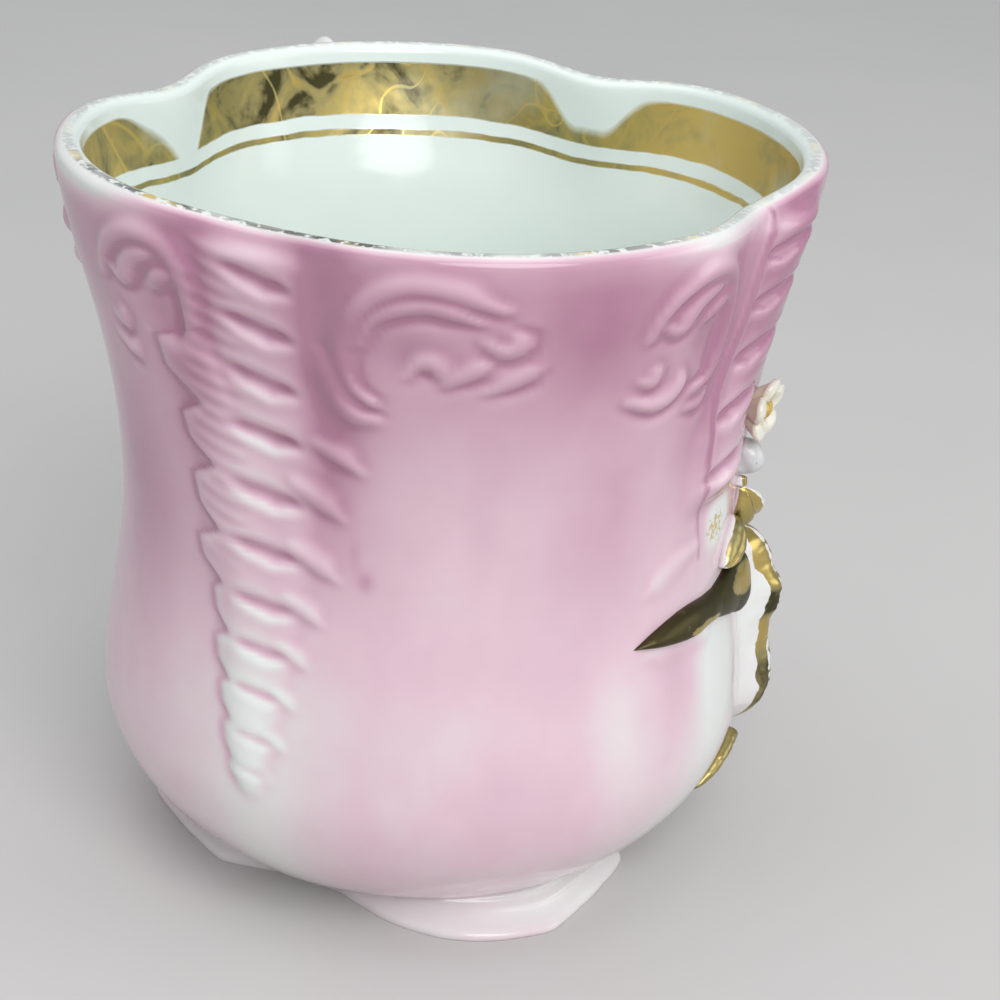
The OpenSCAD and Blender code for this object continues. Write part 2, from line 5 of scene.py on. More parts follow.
import bmesh
import bpy
import numpy as np
from bpy.props import FloatProperty, FloatVectorProperty, PointerProperty
from mathutils import Matrix, Vector, noise


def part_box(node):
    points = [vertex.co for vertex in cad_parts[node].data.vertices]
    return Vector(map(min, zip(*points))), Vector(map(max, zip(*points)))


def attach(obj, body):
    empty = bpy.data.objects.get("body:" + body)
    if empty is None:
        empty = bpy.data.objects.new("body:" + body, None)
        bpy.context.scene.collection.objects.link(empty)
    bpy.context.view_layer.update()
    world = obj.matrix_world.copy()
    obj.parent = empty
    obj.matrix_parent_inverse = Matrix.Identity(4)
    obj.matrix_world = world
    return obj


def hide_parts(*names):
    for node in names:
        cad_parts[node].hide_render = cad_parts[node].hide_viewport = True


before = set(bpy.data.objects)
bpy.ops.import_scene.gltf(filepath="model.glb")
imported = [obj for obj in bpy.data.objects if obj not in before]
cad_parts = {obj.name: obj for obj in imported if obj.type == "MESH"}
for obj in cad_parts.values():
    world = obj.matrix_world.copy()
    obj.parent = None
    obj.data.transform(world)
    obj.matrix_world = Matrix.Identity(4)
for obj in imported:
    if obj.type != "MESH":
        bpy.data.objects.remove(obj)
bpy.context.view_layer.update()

bl_info = {
    "name": "Pink porcelain cup",
    "version": (1, 0, 0),
    "blender": (4, 5, 0),
    "location": "3D View > Sidebar > Cup",
    "description": "Porcelain cup with moulded columns and scrolls, a gilded rim and an applied sprig",
    "category": "Add Mesh",
}

MM = 0.001
FOOT_TOP, BODY_TOP = (corner.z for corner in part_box("cup_body"))
# Places of a mesh that lie closer than this are the same.
TINY = 1e-4

# Ornament of one column, in mm: heights of the hollows' upper edges, then the husk tips (height, reach).
HOLLOW_TOPS = (81.9, 76.4, 70.4, 64.3, 57.3, 50.6, 44.1, 38.6, 33.5, 28.1, 23.9, 20.4)
LEFT_TIPS = (
    (20.5, 1.6), (23.0, 2.7), (27.6, 3.8), (32.0, 4.7), (37.0, 5.9), (42.4, 6.6), (47.9, 8.9),
    (55.2, 9.5), (62.1, 10.6), (70.5, 13.1),
)
RIGHT_TIPS = (
    (22.0, 3.0), (26.0, 4.4), (31.0, 5.1), (36.0, 6.0), (41.3, 7.2), (46.8, 8.8), (54.1, 9.4),
    (60.0, 11.6),
)
# How far a column reaches above its husks, in mm; share of the next tip's reach that a husk's edge steps back to; a
# thorn's path as shares of its reach, out and up.
COLUMN_REACH, HUSK_STEP = 6.0, 0.56
THORN = ((0.46, 0.36), (0.64, 0.27), (0.83, 0.13), (1, 0))
# Fineness of the map that the wall's relief is worked out on: places round, rows up and mm between rows.
MAP_TURNS, MAP_ROWS, MAP_STEP = 900, 321, 0.27
# Direction of one of the foot's three lobes, in degrees from the sprig's middle.
FOOT_LOBE = -84.0
# Edge of the foot on both sides of a lobe: degrees from the lobe, share of the notch's depth.
FOOT_EDGE = (
    (-60, -0.4), (-44, -0.32), (-35, -0.02), (-29, 0.25), (-24, 0.44), (-20, 0.58), (-15, 0.75), (-9, 0.88), (-3, 0.95),
    (3, 0.98), (7, 1), (8.5, 1), (12.5, 0.87), (19, 0.68), (24, 0.58), (31, 0.46), (42, 0.36), (50, 0.0), (60, -0.4),
)
# Spread of a valley in degrees; how far under the rim the lobes fade out, outside and inside, and the rise and reach
# of the rounded heel inside, in mm.
VALLEY_SPREAD = 13.0
OUTER_FADE, INNER_FADE = 44.0, 20.0
HEEL_RISE, HEEL_REACH = 7.0, 9.1
# Rolled lip, in mm: its height, and half its way from the outside to the inside.
LIP_RISE, LIP_HALF = 1.1, 1.7
# Fields that the pink glaze reads, and their values far from the lip and without gilding.
GLAZE_FIELDS = ("inset", "pink", "gild", "wear", "painted_gleam", "dab")
FAR_OUT, UNGILT = -60.0, -9.0
# Handle: degrees from the sprig's middle; heights of its upper end, crown and lower end, and its reach, in mm; share
# of its length that lies before the crown.
HANDLE_TURN = 92.5
HANDLE_TOP, HANDLE_CROWN, HANDLE_END, HANDLE_REACH = 70.0, 77.5, 24.0, 21.0
BEFORE_CROWN = 0.25
# Mould seam beside the sprig's left column: degrees from the sprig's middle, mm up.
SEAM = (
    (-42.2, 84.2), (-43.8, 81.0), (-45.2, 77.2), (-46.2, 73.8), (-47.6, 71.0), (-49.4, 68.0), (-51.2, 65.4),
    (-51.9, 62.0), (-51.8, 57.0), (-50.6, 51.0), (-48.6, 44.5),
)

# Bands of a panel's two scrolls: width, height, then the crest's path in degrees from the panel's middle and mm up.
SCROLL_BANDS = (
    (1.35, 0.85, ((-7.4, 80.3), (-10.5, 81.3), (-13.6, 82.2), (-19.6, 82.6), (-24.6, 81.1), (-28.0, 78.4),
                  (-29.8, 75.2), (-29.6, 72.4), (-27.9, 70.0), (-25.2, 68.8))),
    (1.15, 0.65, ((-10.6, 79.0), (-14.3, 80.2), (-18.1, 80.6), (-22.3, 79.8), (-25.4, 78.0), (-27.2, 75.0))),
    (1.1, 0.35, ((-14.6, 71.8), (-15.4, 73.4), (-17.0, 74.2), (-18.7, 73.6), (-20.0, 72.2))),
    (1.05, 0.45, ((-8.6, 74.2), (-10.8, 73.4), (-12.6, 72.6), (-14.6, 71.4))),
    (1.15, 0.6, ((-5.4, 78.0), (-4.5, 76.6), (-6.8, 75.7), (-9.4, 76.7))),
    (1.0, 0.4, ((-1.2, 73.6), (-4.1, 72.6), (-6.2, 71.8), (-8.4, 70.8))),
    (1.3, 0.7, ((-33.6, 73.4), (-32.5, 71.2), (-30.6, 68.4), (-27.6, 66.9), (-24.8, 66.9))),
    (1.35, 0.85, ((28.6, 67.7), (31.6, 68.3), (33.2, 69.9), (33.7, 72.6), (33.6, 75.5), (32.8, 78.6), (30.6, 81.0),
                  (27.0, 82.0), (23.0, 81.6), (19.5, 80.2), (17.6, 78.7), (16.3, 77.4), (15.6, 75.7))),
    (1.15, 0.7, ((29.6, 80.0), (26.8, 79.8), (24.1, 78.9), (22.4, 77.5), (21.4, 76.3), (20.0, 75.8), (18.0, 76.7))),
    (1.1, 0.6, ((31.6, 78.2), (29.8, 77.8), (28.2, 77.1), (27.2, 76.1))),
    (1.2, 0.7, ((24.2, 70.5), (24.2, 68.9), (22.1, 67.6), (18.3, 67.2), (14.1, 68.1))),
    (1.0, 0.5, ((18.3, 72.2), (18.3, 71.0), (17.7, 70.1), (15.2, 70.6))),
    (1.0, 0.45, ((33.7, 66.5), (31.5, 65.4), (28.0, 65.2))),
)
# Hollows inside the scrolls: degrees from the panel's middle, mm up, their spreads in mm, depth.
SCROLL_DISHES = ((-21.4, 74.6, 3.6, 3.0, 0.6), (27.4, 73.6, 2.8, 3.0, 0.35))
# Folds of the wall beside the left twig: degrees from the sprig's middle, mm up.
FOLDS = (
    ((-64.5, 43.2), (-58.0, 45.4), (-51.0, 46.6)),
    ((-64.0, 35.8), (-56.0, 36.2), (-46.0, 35.0)),
)

# Patches where the pink lies thicker or thinner: degrees from the sprig's middle, mm up, their spreads, amount. Some
# are painted shade and light: (-167, 52) darkens the left flank as painted shade, (-56, 31) is a painted shadow under
# the left twig and (-147.5, 75) lightens the place beside the far-left column as painted light. (-39, 30) whitens the
# mound beside the sprig.
PATCHES = (
    (-74, 52, 9, 11, 0.18), (-71, 27, 6.5, 10, -0.14), (-96, 36, 12, 6, 0.08), (-121, 74, 5, 9, 0.18),
    (-123, 56, 4, 9, 0.2), (-151, 72, 6, 12, -0.1), (-167, 52, 15, 13, 0.34), (-84, 20, 20, 8, 0.16),
    (-52, 62, 4.5, 16, 0.2), (-42, 68, 7, 16, 0.52), (-56, 31, 5.5, 6, 0.2), (-39, 30, 6, 8, -0.3),
    (-84, 77, 11, 8, 0.15), (-147.5, 75, 3, 8, -0.12), (-97.3, 54, 3, 7, 0.07),
    (-116.2, 47.2, 1.5, 1.3, 0.34), (-118.2, 50, 1.0, 2.4, 0.14),
    (-58, 86, 14, 2.6, -1.1), (-172, 86, 17, 2.6, -1.0),
)
# White spot beside the sprig with a yellow dab, in mm along and up from the sprig's middle.
DAB = (-26.9, 7.1)

# Layout of the sprig, in mm along and up the wall from its middle, which lies so far under the waist.
SPRIG_DROP = 4.0
# Branch and twigs: path; rows of share along, shares of the full width and height, and shade of the gilding, whose low
# values are partly painted dark reflection; how rough and with which seed; mesh round and along; share across where the
# gilding gives way to white; bright patches of the gilding by places along and across and their spreads.
TWIGS = {
    "main_branch": dict(
        path=((-11.2, 0.6), (-10, -7), (-10.2, -16), (-11.6, -25.2)),
        rows=((0, 0.8, 0.8, 0.05), (0.06, 1, 0.92, 0.05), (0.2, 1, 1.15, 0.05), (0.3, 1, 1.4, 0), (0.34, 1, 1.45, -0.3),
              (0.44, 1, 1.25, -0.3), (0.5, 1, 0.98, 0.1), (0.6, 0.9, 0.93, 0.08), (0.72, 0.88, 0.96, -0.25),
              (0.9, 0.82, 1.12, -0.2), (1, 0.5, 1, 0)),
        rough=0.12, seed=1, mesh=(64, 120), bare=0.42, flanked=True),
    # The left twig's dark shade is painted dark reflection.
    "left_twig": dict(
        path=((-16.6, -2.8), (-26, -2.6), (-34, -1.4), (-42.1, -3)),
        rows=((0, 1.9, 0.9, -0.36), (0.06, 1.9, 0.9, -0.34), (0.2, 1.25, 0.62, -0.34), (0.4, 0.7, 0.5, -0.36),
              (0.5, 0.66, 0.52, -0.36), (0.62, 0.7, 0.55, -0.36), (0.7, 0.66, 0.5, -0.34), (0.8, 0.5, 0.45, -0.34),
              (0.9, 0.3, 0.4, -0.36), (1, 0.06, 0.15, -0.36)),
        rough=0.05, seed=2, mesh=(44, 120), bare=1.4, bright=((0.17, -0.3, 0.13, 0.5), (0.55, 0.5, 0.14, 0.4))),
    "right_twig": dict(
        path=((-5.6, -10.6), (2, -13), (8, -9), (17, -10)),
        rows=((0, 0.9, 1, -0.2), (0.3, 0.85, 0.9, 0), (0.5, 0.6, 0.7, -0.25), (0.7, 0.6, 0.75, 0),
              (1, 0.25, 0.4, -0.2)),
        rough=0.18, seed=3, mesh=(30, 90), bare=0.95),
    "lower_twig": dict(
        path=((-13.4, -25.8), (-17, -27), (-19.5, -28.4), (-22.2, -29.8)),
        rows=((0, 0.64, 0.7, -0.2), (0.5, 0.5, 0.6, -0.1), (1, 0.2, 0.3, -0.2)),
        rough=0.18, seed=4, mesh=(24, 60), bare=1.05),
}
STALK = dict(rows=((0, 1, 0.8, -0.1), (1, 0.9, 0.7, 0)), rough=0.15, seed=5, mesh=(16, 24), bare=0.8)
# Leaves: root, tip and how far one edge is lifted.
LEAVES = {
    "upper_leaf": ((-14.8, 3), (-18.4, 8.2), 2.2),
    "hanging_leaf": ((-19.2, 4.8), (-24.6, 1.2), 0.0),
    "inner_leaf": ((-4.4, -4.6), (2, 1), 0.0),
    "right_leaf": ((10.4, -8.2), (16.3, -2), 0.0),
    "low_leaf": ((2, -13.7), (8.5, -19.4), 0.0),
}
# Blossoms: middle, turn of the first petal in degrees and how far the right side is lifted.
BLOSSOMS = {
    "upper": ((-18.3, 18.3), 54, 1.2),
    "middle": ((-1.5, 11), 86, 0.0),
    "right": ((7, 2), 41, 0.0),
}
# Buds: middle and lean in degrees.
BUDS = {
    "upper_bud": ((-18.1, 12.3), 80),
    "right_bud": ((10.2, 11), 65),
    "tip_bud": ((20, -9.4), 20),
}
# Stalks: root and tip.
STALKS = {
    "upper_stalk": ((-18.5, 8.7), (-18.3, 9.9)),
    "middle_stalk": ((-10, 0.6), (-3.2, 9.1)),
    "right_stalk": ((5.0, -10.4), (6.8, -1.4)),
    "bud_stalk": ((7.8, 5.2), (9.4, 9.4)),
}


def length(name, description, default):
    return FloatProperty(name=name, description=description, default=default, unit="LENGTH", precision=5)


def angle(name, description, degrees):
    return FloatProperty(name=name, description=description, default=math.radians(degrees), subtype="ANGLE")


def power(name, description, watts):
    return FloatProperty(name=name, description=description, default=watts, unit="POWER")


def colour(name, description, default):
    return FloatVectorProperty(name=name, description=description, default=default, subtype="COLOR", min=0, max=1)


class CupSizes(bpy.types.PropertyGroup):
    """Sizes of the cup, as the solids have them"""

    cup_height: length("Cup height", "Table to the top of a lobe of the rim", BODY_TOP)
    foot_height: length("Foot height", "Table to the underside of the body", FOOT_TOP)
    rim_width: length("Rim width", "Across the rim, before its lobes", 0.084)
    shoulder_width: length("Shoulder width", "Across the body where the rim starts to flare", 0.079)
    waist_width: length("Waist width", "Across the body at its narrowest", 0.072)
    belly_width: length("Belly width", "Across the body at its widest low down", 0.0764)
    base_width: length("Base width", "Across the body on its foot", 0.0568)
    shoulder_height: length("Shoulder height", "Height where the rim starts to flare", 0.072)
    waist_height: length("Waist height", "Height of the narrowest place", 0.044)
    belly_height: length("Belly height", "Height of the widest place low down", 0.0205)
    wall: length("Wall", "Thickness of the wall", 0.003)
    floor_height: length("Inner floor", "Height of the floor inside", 0.008)
    lobe_swell: length("Lobe swell", "How far a lobe of the rim stands out", 0.0015)
    notch_depth: length("Notch depth", "How far the rim goes in at a column", 0.003)
    notch_dip: length("Notch dip", "How far the rim dips at a column", 0.001)
    column_relief: length("Column relief", "How far a column stands out", 0.0019)
    foot_width: length("Foot width", "Across two lobes of the foot", 0.0648)
    foot_notch: length("Foot notch", "How far the foot goes in between two lobes", 0.0072)
    foot_ring: length("Foot ring", "Width of the ring that the cup stands on", 0.006)
    handle_width: length("Handle width", "Width of the handle's section", 0.009)
    handle_thickness: length("Handle thickness", "Thickness of the handle's section", 0.0064)
    thumb_rest: length("Thumb rest", "Height of the thumb rest", 0.0042)
    branch_width: length("Branch width", "Width of the main branch with its flanks", 0.0106)
    branch_height: length("Branch height", "How far the main branch stands out", 0.004)
    twig_width: length("Twig width", "Width of a twig", 0.005)
    twig_height: length("Twig height", "How far a twig stands out", 0.0032)
    leaf_width: length("Leaf width", "Width of a leaf", 0.0038)
    leaf_height: length("Leaf height", "How far a leaf stands out", 0.0016)
    blossom_width: length("Blossom width", "Across a blossom", 0.0074)
    blossom_height: length("Blossom height", "How far a blossom stands out", 0.002)
    pollen_width: length("Pollen width", "Across a blossom's heart", 0.0022)
    bud_length: length("Bud length", "Length of a bud", 0.0042)
    bud_width: length("Bud width", "Width of a bud", 0.0038)
    bud_height: length("Bud height", "How far a bud stands out", 0.0028)
    stalk_width: length("Stalk width", "Width of a stalk", 0.0014)


class CupColours(bpy.types.PropertyGroup):
    """Colours of the glaze, the gilding and the stage"""

    white: colour("White glaze", "Bare porcelain", (0.80, 0.82, 0.80))
    inside: colour("Inside", "White glaze inside the cup", (0.81, 0.88, 0.845))
    pale_pink: colour("Pale pink", "Thin pink glaze", (0.75, 0.54, 0.62))
    pink: colour("Pink", "Pink glaze", (0.60, 0.36, 0.46))
    # Pink and deep pink also show painted shade where the pink field carries it.
    deep_pink: colour("Deep pink", "Pink glaze where it lies thick", (0.42, 0.19, 0.29))
    gold: colour("Gold", "Bright gilding", (0.62, 0.46, 0.14))
    old_gold: colour("Old gold", "Rubbed and clouded gilding", (0.37, 0.32, 0.145))
    pollen: colour("Pollen", "Yellow enamel of the blossoms' hearts", (0.72, 0.52, 0.12))
    floor: colour("Floor", "Floor of the stage", (0.62, 0.61, 0.60))


class CupStage(bpy.types.PropertyGroup):
    """Camera and light"""

    camera_place: FloatVectorProperty(
        name="Camera place", description="Where the camera stands", default=(-0.2709, 0.0777, 0.1660),
        subtype="TRANSLATION", unit="LENGTH", precision=4)
    camera_turn: angle("Camera turn", "Direction of view, round the upright", 107.68)
    camera_tilt: angle("Camera tilt", "How far the view looks down", 23.78)
    camera_roll: angle("Camera roll", "Roll about the line of sight", 3.29)
    lens: FloatProperty(name="Lens", description="Focal length in mm on a 36 mm sensor", default=93.6)
    key_power: power("Key light", "Power of the main light", 4.0)
    top_power: power("Top light", "Power of the light overhead", 2.0)
    fill_power: power("Fill light", "Power of the fill light", 0.9)
    sky: FloatProperty(name="Sky", description="Strength of the even light", default=0.5)


def smooth(x):
    """0 below 0, 1 above 1 and an even rise between."""
    x = np.clip(x, 0.0, 1.0)
    return x * x * (3 - 2 * x)


def bell(x, wide, y=0.0, tall=1.0):
    """A hump of height 1 that falls off over the given width, or width and height."""
    return np.exp(-(x / wide) ** 2 - (y / tall) ** 2)


def mix(a, b, t):
    return a + (b - a) * t


def mixed(a, b, t):
    return tuple(mix(x, y, t) for x, y in zip(a, b))


def apart(a, place):
    """Degrees from the nearest of four places round the cup."""
    return (a - place + 45) % 90 - 45


def bezier(points, t):
    a, b, c, d = (np.array(p, float) for p in points)
    t = np.asarray(t)[:, None]
    return a * (1 - t) ** 3 + 3 * b * t * (1 - t) ** 2 + 3 * c * t * t * (1 - t) + d * t ** 3


def rounded_path(points, count):
    """Points evenly along a smooth curve through the given ones."""
    p = np.array(points, float)
    p = np.vstack([2 * p[0] - p[1], p, 2 * p[-1] - p[-2]])
    out = []
    for s in np.linspace(0, len(points) - 1.000001, count):
        i, f = int(s), s - int(s)
        a, b, c, d = p[i:i + 4]
        out.append(0.5 * (2 * b + (c - a) * f + (2 * a - 5 * b + 4 * c - d) * f * f
                          + (3 * b - a - 3 * c + d) * f ** 3))
    return np.array(out)


def saw(tips, share, top):
    """Reach of a row of husk tips by height, for np.interp. Over each tip the edge steps back to a share of the next
    tip's reach, and over the last one to the top's."""
    rows = [(tips[0][0] - 2.0, 0.4)]
    for (z, reach), (upper, longer) in zip(tips, tips[1:]):
        shelf = z + max(0.9, 0.2 * reach)
        rows += [(z, reach), (shelf, share * longer), (mix(shelf, upper, 0.45), 0.5 * (share + 1.3) * longer)]
    z, reach = tips[-1]
    rows += [(z, reach), (z + max(0.9, 0.2 * reach), top)]
    return np.array(rows).T


def ridge(x, z, path, width, height, crisp, gentle, ends):
    """Height of a ridge along a path, crisp on its left and gentle on its right, with the share of its width to each
    place and which places lie on its left. The ends are the shares of its size that it starts and stops with."""
    rise, far, left = np.zeros_like(x), np.full_like(x, 9.0), np.zeros_like(x, bool)
    room = 3 * width
    low, high = path.min(axis=0) - room, path.max(axis=0) + room
    near = (x > low[0]) & (x < high[0]) & (z > low[1]) & (z < high[1])
    px, pz = x[near], z[near]
    best, place, side = np.full_like(px, 1e9), np.zeros_like(px), np.zeros_like(px)
    steps = len(path) - 1
    for i in range(steps):
        d = path[i + 1] - path[i]
        along = np.clip(((px - path[i, 0]) * d[0] + (pz - path[i, 1]) * d[1]) / (d @ d), 0, 1)
        gx, gz = px - path[i, 0] - along * d[0], pz - path[i, 1] - along * d[1]
        gap = gx * gx + gz * gz
        closer = gap < best
        best = np.where(closer, gap, best)
        place = np.where(closer, (i + along) / steps, place)
        side = np.where(closer, d[0] * gz - d[1] * gx, side)
    taper = np.minimum(mix(ends[0], 1, smooth(place / 0.2)), mix(ends[1], 1, smooth((1 - place) / 0.45)))
    share = np.sqrt(best) / (width * taper)
    spread = np.where(side > 0, crisp, gentle)
    rise[near] = height * taper ** 0.6 * np.cos(np.pi / 2 * np.clip(share / spread, 0, 1)) ** 2
    far[near], left[near] = share, side > 0
    return rise, far, left


def even(field, round_it, upright):
    """A map of the wall, evened out by so many passes over each place and its neighbours round and up the wall."""
    for _ in range(round_it):
        field = (np.roll(field, 1, 1) + np.roll(field, -1, 1) + 2 * field) / 4
    for _ in range(upright):
        upper, lower = np.vstack([field[1:], field[-1:]]), np.vstack([field[:1], field[:-1]])
        field = (upper + lower + 2 * field) / 4
    return field


class Wall:
    """The cup's wall in mm: radius by height and by degrees round from the sprig's middle."""

    def __init__(self, sizes):
        self.s = s = {key: getattr(sizes, key) / MM for key in CupSizes.__annotations__}
        self.top, self.foot, self.floor = s["cup_height"], s["foot_height"], s["floor_height"]
        # Height, radius and lean of the outline.
        self.knots = np.array([
            (self.foot, s["base_width"] / 2, 1.25), (s["belly_height"], s["belly_width"] / 2, 0.0),
            (s["waist_height"], s["waist_width"] / 2, 0.0), (s["shoulder_height"], s["shoulder_width"] / 2, 0.26),
            (self.top, s["rim_width"] / 2, 0.08)])
        self.left = saw(LEFT_TIPS, HUSK_STEP, COLUMN_REACH)
        self.thorns = []
        for z, reach in RIGHT_TIPS:
            path = rounded_path([(out * reach, z + up * reach) for out, up in THORN], 7)
            self.thorns.append((0.2 + 0.13 * reach, 0.1 + 0.07 * reach, path))
        self.bands = [(width, height, self.laid(path)) for width, height, path in SCROLL_BANDS]
        self.seam = self.laid(SEAM)
        self.folds = [self.laid(path) for path in FOLDS]
        turns, rises = np.meshgrid(np.arange(MAP_TURNS) * 360 / MAP_TURNS - 180, np.arange(MAP_ROWS) * MAP_STEP)
        a, z = turns.ravel(), rises.ravel()
        base = self.outline(z)
        carved = self.column(a, z, base) + self.scroll(a, z, base)
        self.relief = even(carved.reshape(turns.shape), 6, 3)
        self.hollow = even(self.relief, 12, 12) - self.relief
        # Upright slope of the relief, read to paint shade and light into the pink.
        self.slope = np.gradient(self.relief, MAP_STEP, axis=0)

    def laid(self, path):
        """A path in degrees and mm up as a smooth row of places, in mm round and up."""
        p = rounded_path(path, 26)
        return np.column_stack([np.radians(p[:, 0]) * self.outline(p[:, 1]), p[:, 1]])

    def outline(self, z):
        """Radius of the wall by height, before lobes and relief."""
        k = self.knots
        i = np.clip(np.searchsorted(k[:, 0], z) - 1, 0, len(k) - 2)
        (z0, r0, m0), (z1, r1, m1) = k[i].T, k[i + 1].T
        t = np.clip((z - z0) / (z1 - z0), 0, 1)
        return ((2 * t ** 3 - 3 * t ** 2 + 1) * r0 + (t ** 3 - 2 * t ** 2 + t) * (z1 - z0) * m0
                + (3 * t ** 2 - 2 * t ** 3) * r1 + (t ** 3 - t ** 2) * (z1 - z0) * m1)

    def valley(self, a):
        return bell(apart(a, 45), VALLEY_SPREAD)

    def rim(self, a):
        return self.top - self.s["notch_dip"] * self.valley(a)

    def lobes(self, a, z, fade):
        """How far the lobes swell out and the valleys go in, fading out downwards."""
        swell = (1 + np.cos(np.radians(4 * a))) / 2
        out = self.s["lobe_swell"] * swell - self.s["notch_depth"] * self.valley(a)
        return smooth((z - self.top + fade) / fade) * out

    def aside(self, a, base, drift=0.0):
        """Mm from the nearest column's middle to the side of its thorns. Every second column is mirrored."""
        return np.radians(apart(a - drift, 45)) * base * np.sign(np.sin(np.radians(2 * a)) + 1e-9)

    def column(self, a, z, base):
        """Relief of the columns: rounded husks with a scalloped left edge, thorns on the right and a scoop in each."""
        beside = np.cos(np.radians(a)) > 0
        # The column left of the sprig leans towards it, and the scoops beside the sprig are longer.
        drift = np.interp(z, (60, 68, 84), (0, 5, 9)) * smooth((38 - np.abs(a + 42)) / 10)
        reach = np.where(beside, np.interp(z, (60, 66), (4.4, 9.0)), 4.4)
        u = self.aside(a, base, drift)
        ends = smooth((self.top - 1.4 - z) / 2.6) * smooth((z - np.where(beside, 50.0, 18.5)) / 4.0)
        scallop = np.interp(z, *self.left)
        left, right = np.array(LEFT_TIPS).T, np.array(RIGHT_TIPS).T
        half = np.where(u < 0, 0.95 * np.interp(z, *left), 0.72 * np.interp(z, *right))
        husk = 0.62 * (1 - np.minimum(np.abs(u) / half, 1) ** 2) ** 1.3
        husk += 0.36 * smooth((scallop + u + 0.2) / 1.2) * smooth((2.5 - u) / 5.0)
        rib = (1 - np.minimum(np.abs(u) / 8.2, 1) ** 2) ** 1.5
        low = smooth((mix(64.5, 72.5, smooth((-u - 1) / 5)) - z) / 3.0) * ~beside
        shape = self.s["column_relief"] * mix(rib, husk, low)
        dig = np.zeros_like(u)
        for top in HOLLOW_TOPS:
            size = np.interp(top, (20, 58), (0.46, 1.0))
            x, y = u / size, (z - top) / size
            arch = -np.where(x > -1, 0.05, 0.005) * (x + 1) ** 2
            down = (arch - y) / np.interp(x, (-4, -1, 2, 5), (1.4, 2.5, 3.0, 1.3))
            across = smooth((x + reach) / (reach - 1.4)) * smooth((5.6 - x) / 2.2)
            scoop = np.sin(np.pi * np.clip(down, 0, 1) ** 1.25) - 0.3 * bell(down - 1.14, 0.2)
            dig = np.where(np.abs(scoop * across) > np.abs(dig), size * scoop * across, dig)
        lines = 0.1 * np.sin(2 * np.pi * (z - 0.02 * u * u) / 1.85) * smooth((-u - 0.6) / 1.5) * smooth((z - 44) / 8)
        shape = shape - 0.85 * dig + lines * smooth((np.minimum(half, 9.0) - np.abs(u)) / 1.5)
        near = (u > 0) & (low > 0) & (u < 13) & (z > 18)
        thorn = np.zeros(near.sum())
        for width, height, path in self.thorns:
            thorn = np.maximum(thorn, ridge(u[near], z[near], path, width, height, 1.9, 1.2, (1.0, 0.25))[0])
        shape[near] = np.maximum(shape[near], 0.6 * shape[near] + thorn * low[near])
        return ends * shape * np.interp(z, (18, 30, 45), (0.5, 0.72, 1.0))

    def by_sprig(self, near, a, z, path, *form):
        """Height of a ridge beside the sprig at the places near it."""
        return ridge(np.radians(a[near]) * self.outline(z[near]), z[near], path, *form)[0]

    def by_seam(self, a, z):
        """Which places lie near the seam."""
        return (np.abs(a + 47) < 9) & (z > 43)

    def lines(self, a, z):
        """How near each place is to the husks' left edges or to the seam, from 0 to 1."""
        edge = self.aside(a, self.outline(z)) + np.interp(z, *self.left)
        husk = bell(edge + 0.25, 0.55) * smooth((74 - z) / 3) * smooth((z - 20) / 6)
        husk = husk * (np.cos(np.radians(a)) < 0)
        near = self.by_seam(a, z)
        husk[near] = self.by_sprig(near, a, z, self.seam - (0.4, 0), 0.9, 2.4, 1, 1, (1, 0.6))
        return husk

    def scroll(self, a, z, base):
        """Relief of the scrolls on each panel but the sprig's, of the seam and of the folds beside the twig."""
        x = np.radians(apart(a, 0)) * base
        relief = np.zeros_like(x)
        near = (z > 62) & (z < self.top) & (np.abs(a) > 45)
        px, pz = x[near], z[near]
        high, groove = np.zeros_like(px), np.zeros_like(px)
        for width, height, path in self.bands:
            rise, far, inside = ridge(px, pz, path, width, height, 1.25, 1.9, (0.45, 0.45))
            high = np.maximum(high, rise)
            groove = np.maximum(groove, 0.34 * bell(far - 1.35, 0.4) * inside)
        sunk = groove * (1 - smooth(high / 0.35))
        for dx, dz, wide, tall, deep in SCROLL_DISHES:
            at = np.radians(dx) * self.outline(dz)
            sunk += deep * bell(px - at, wide, pz - dz, tall) * (1 - smooth(high / 0.5))
        # The left column's husks leave no room for the scroll beside them.
        clear = smooth((72.5 - pz) / 3) * (np.abs(a[near] + 148) < 12)
        relief[near] = (high - sunk) * (1 - clear)
        # The wall is pressed in above the sprig.
        relief -= 0.55 * bell(a + 26, 10, z - 76, 6)
        near = (np.abs(a + 56) < 16) & (z > 28) & (z < 54)
        for path in self.folds:
            relief[near] += self.by_sprig(near, a, z, path, 1.6, 0.3, 1.3, 2.0, (0.3, 0.6))
        near = self.by_seam(a, z)
        relief[near] += self.by_sprig(near, a, z, self.seam, 0.6, 0.4, 1.0, 3.0, (0.7, 0.3))
        return relief

    def outer(self, a, z):
        a, z = np.asarray(a, float), np.asarray(z, float)
        return self.outline(z) + self.lobes(a, z, OUTER_FADE) + self.read(self.relief, a, z)

    def read(self, field, a, z):
        """A field of the relief map at places round and up the wall."""
        x, y = (a + 180) / 360 * MAP_TURNS, np.clip(z / MAP_STEP, 0, MAP_ROWS - 1.001)
        i, j = np.floor(x).astype(int), y.astype(int)
        left, right, f, g = i % MAP_TURNS, (i + 1) % MAP_TURNS, x - i, y - j
        return mix(mix(field[j, left], field[j, right], f), mix(field[j + 1, left], field[j + 1, right], f), g)

    def inner(self, a, z):
        up = np.clip((z - self.floor) / HEEL_RISE, 0, 1)
        heel = HEEL_REACH * (1 - np.sqrt(np.maximum(1 - (1 - up) ** 2, 0)))
        return self.outline(z) - self.s["wall"] + self.lobes(a, z, INNER_FADE) - heel

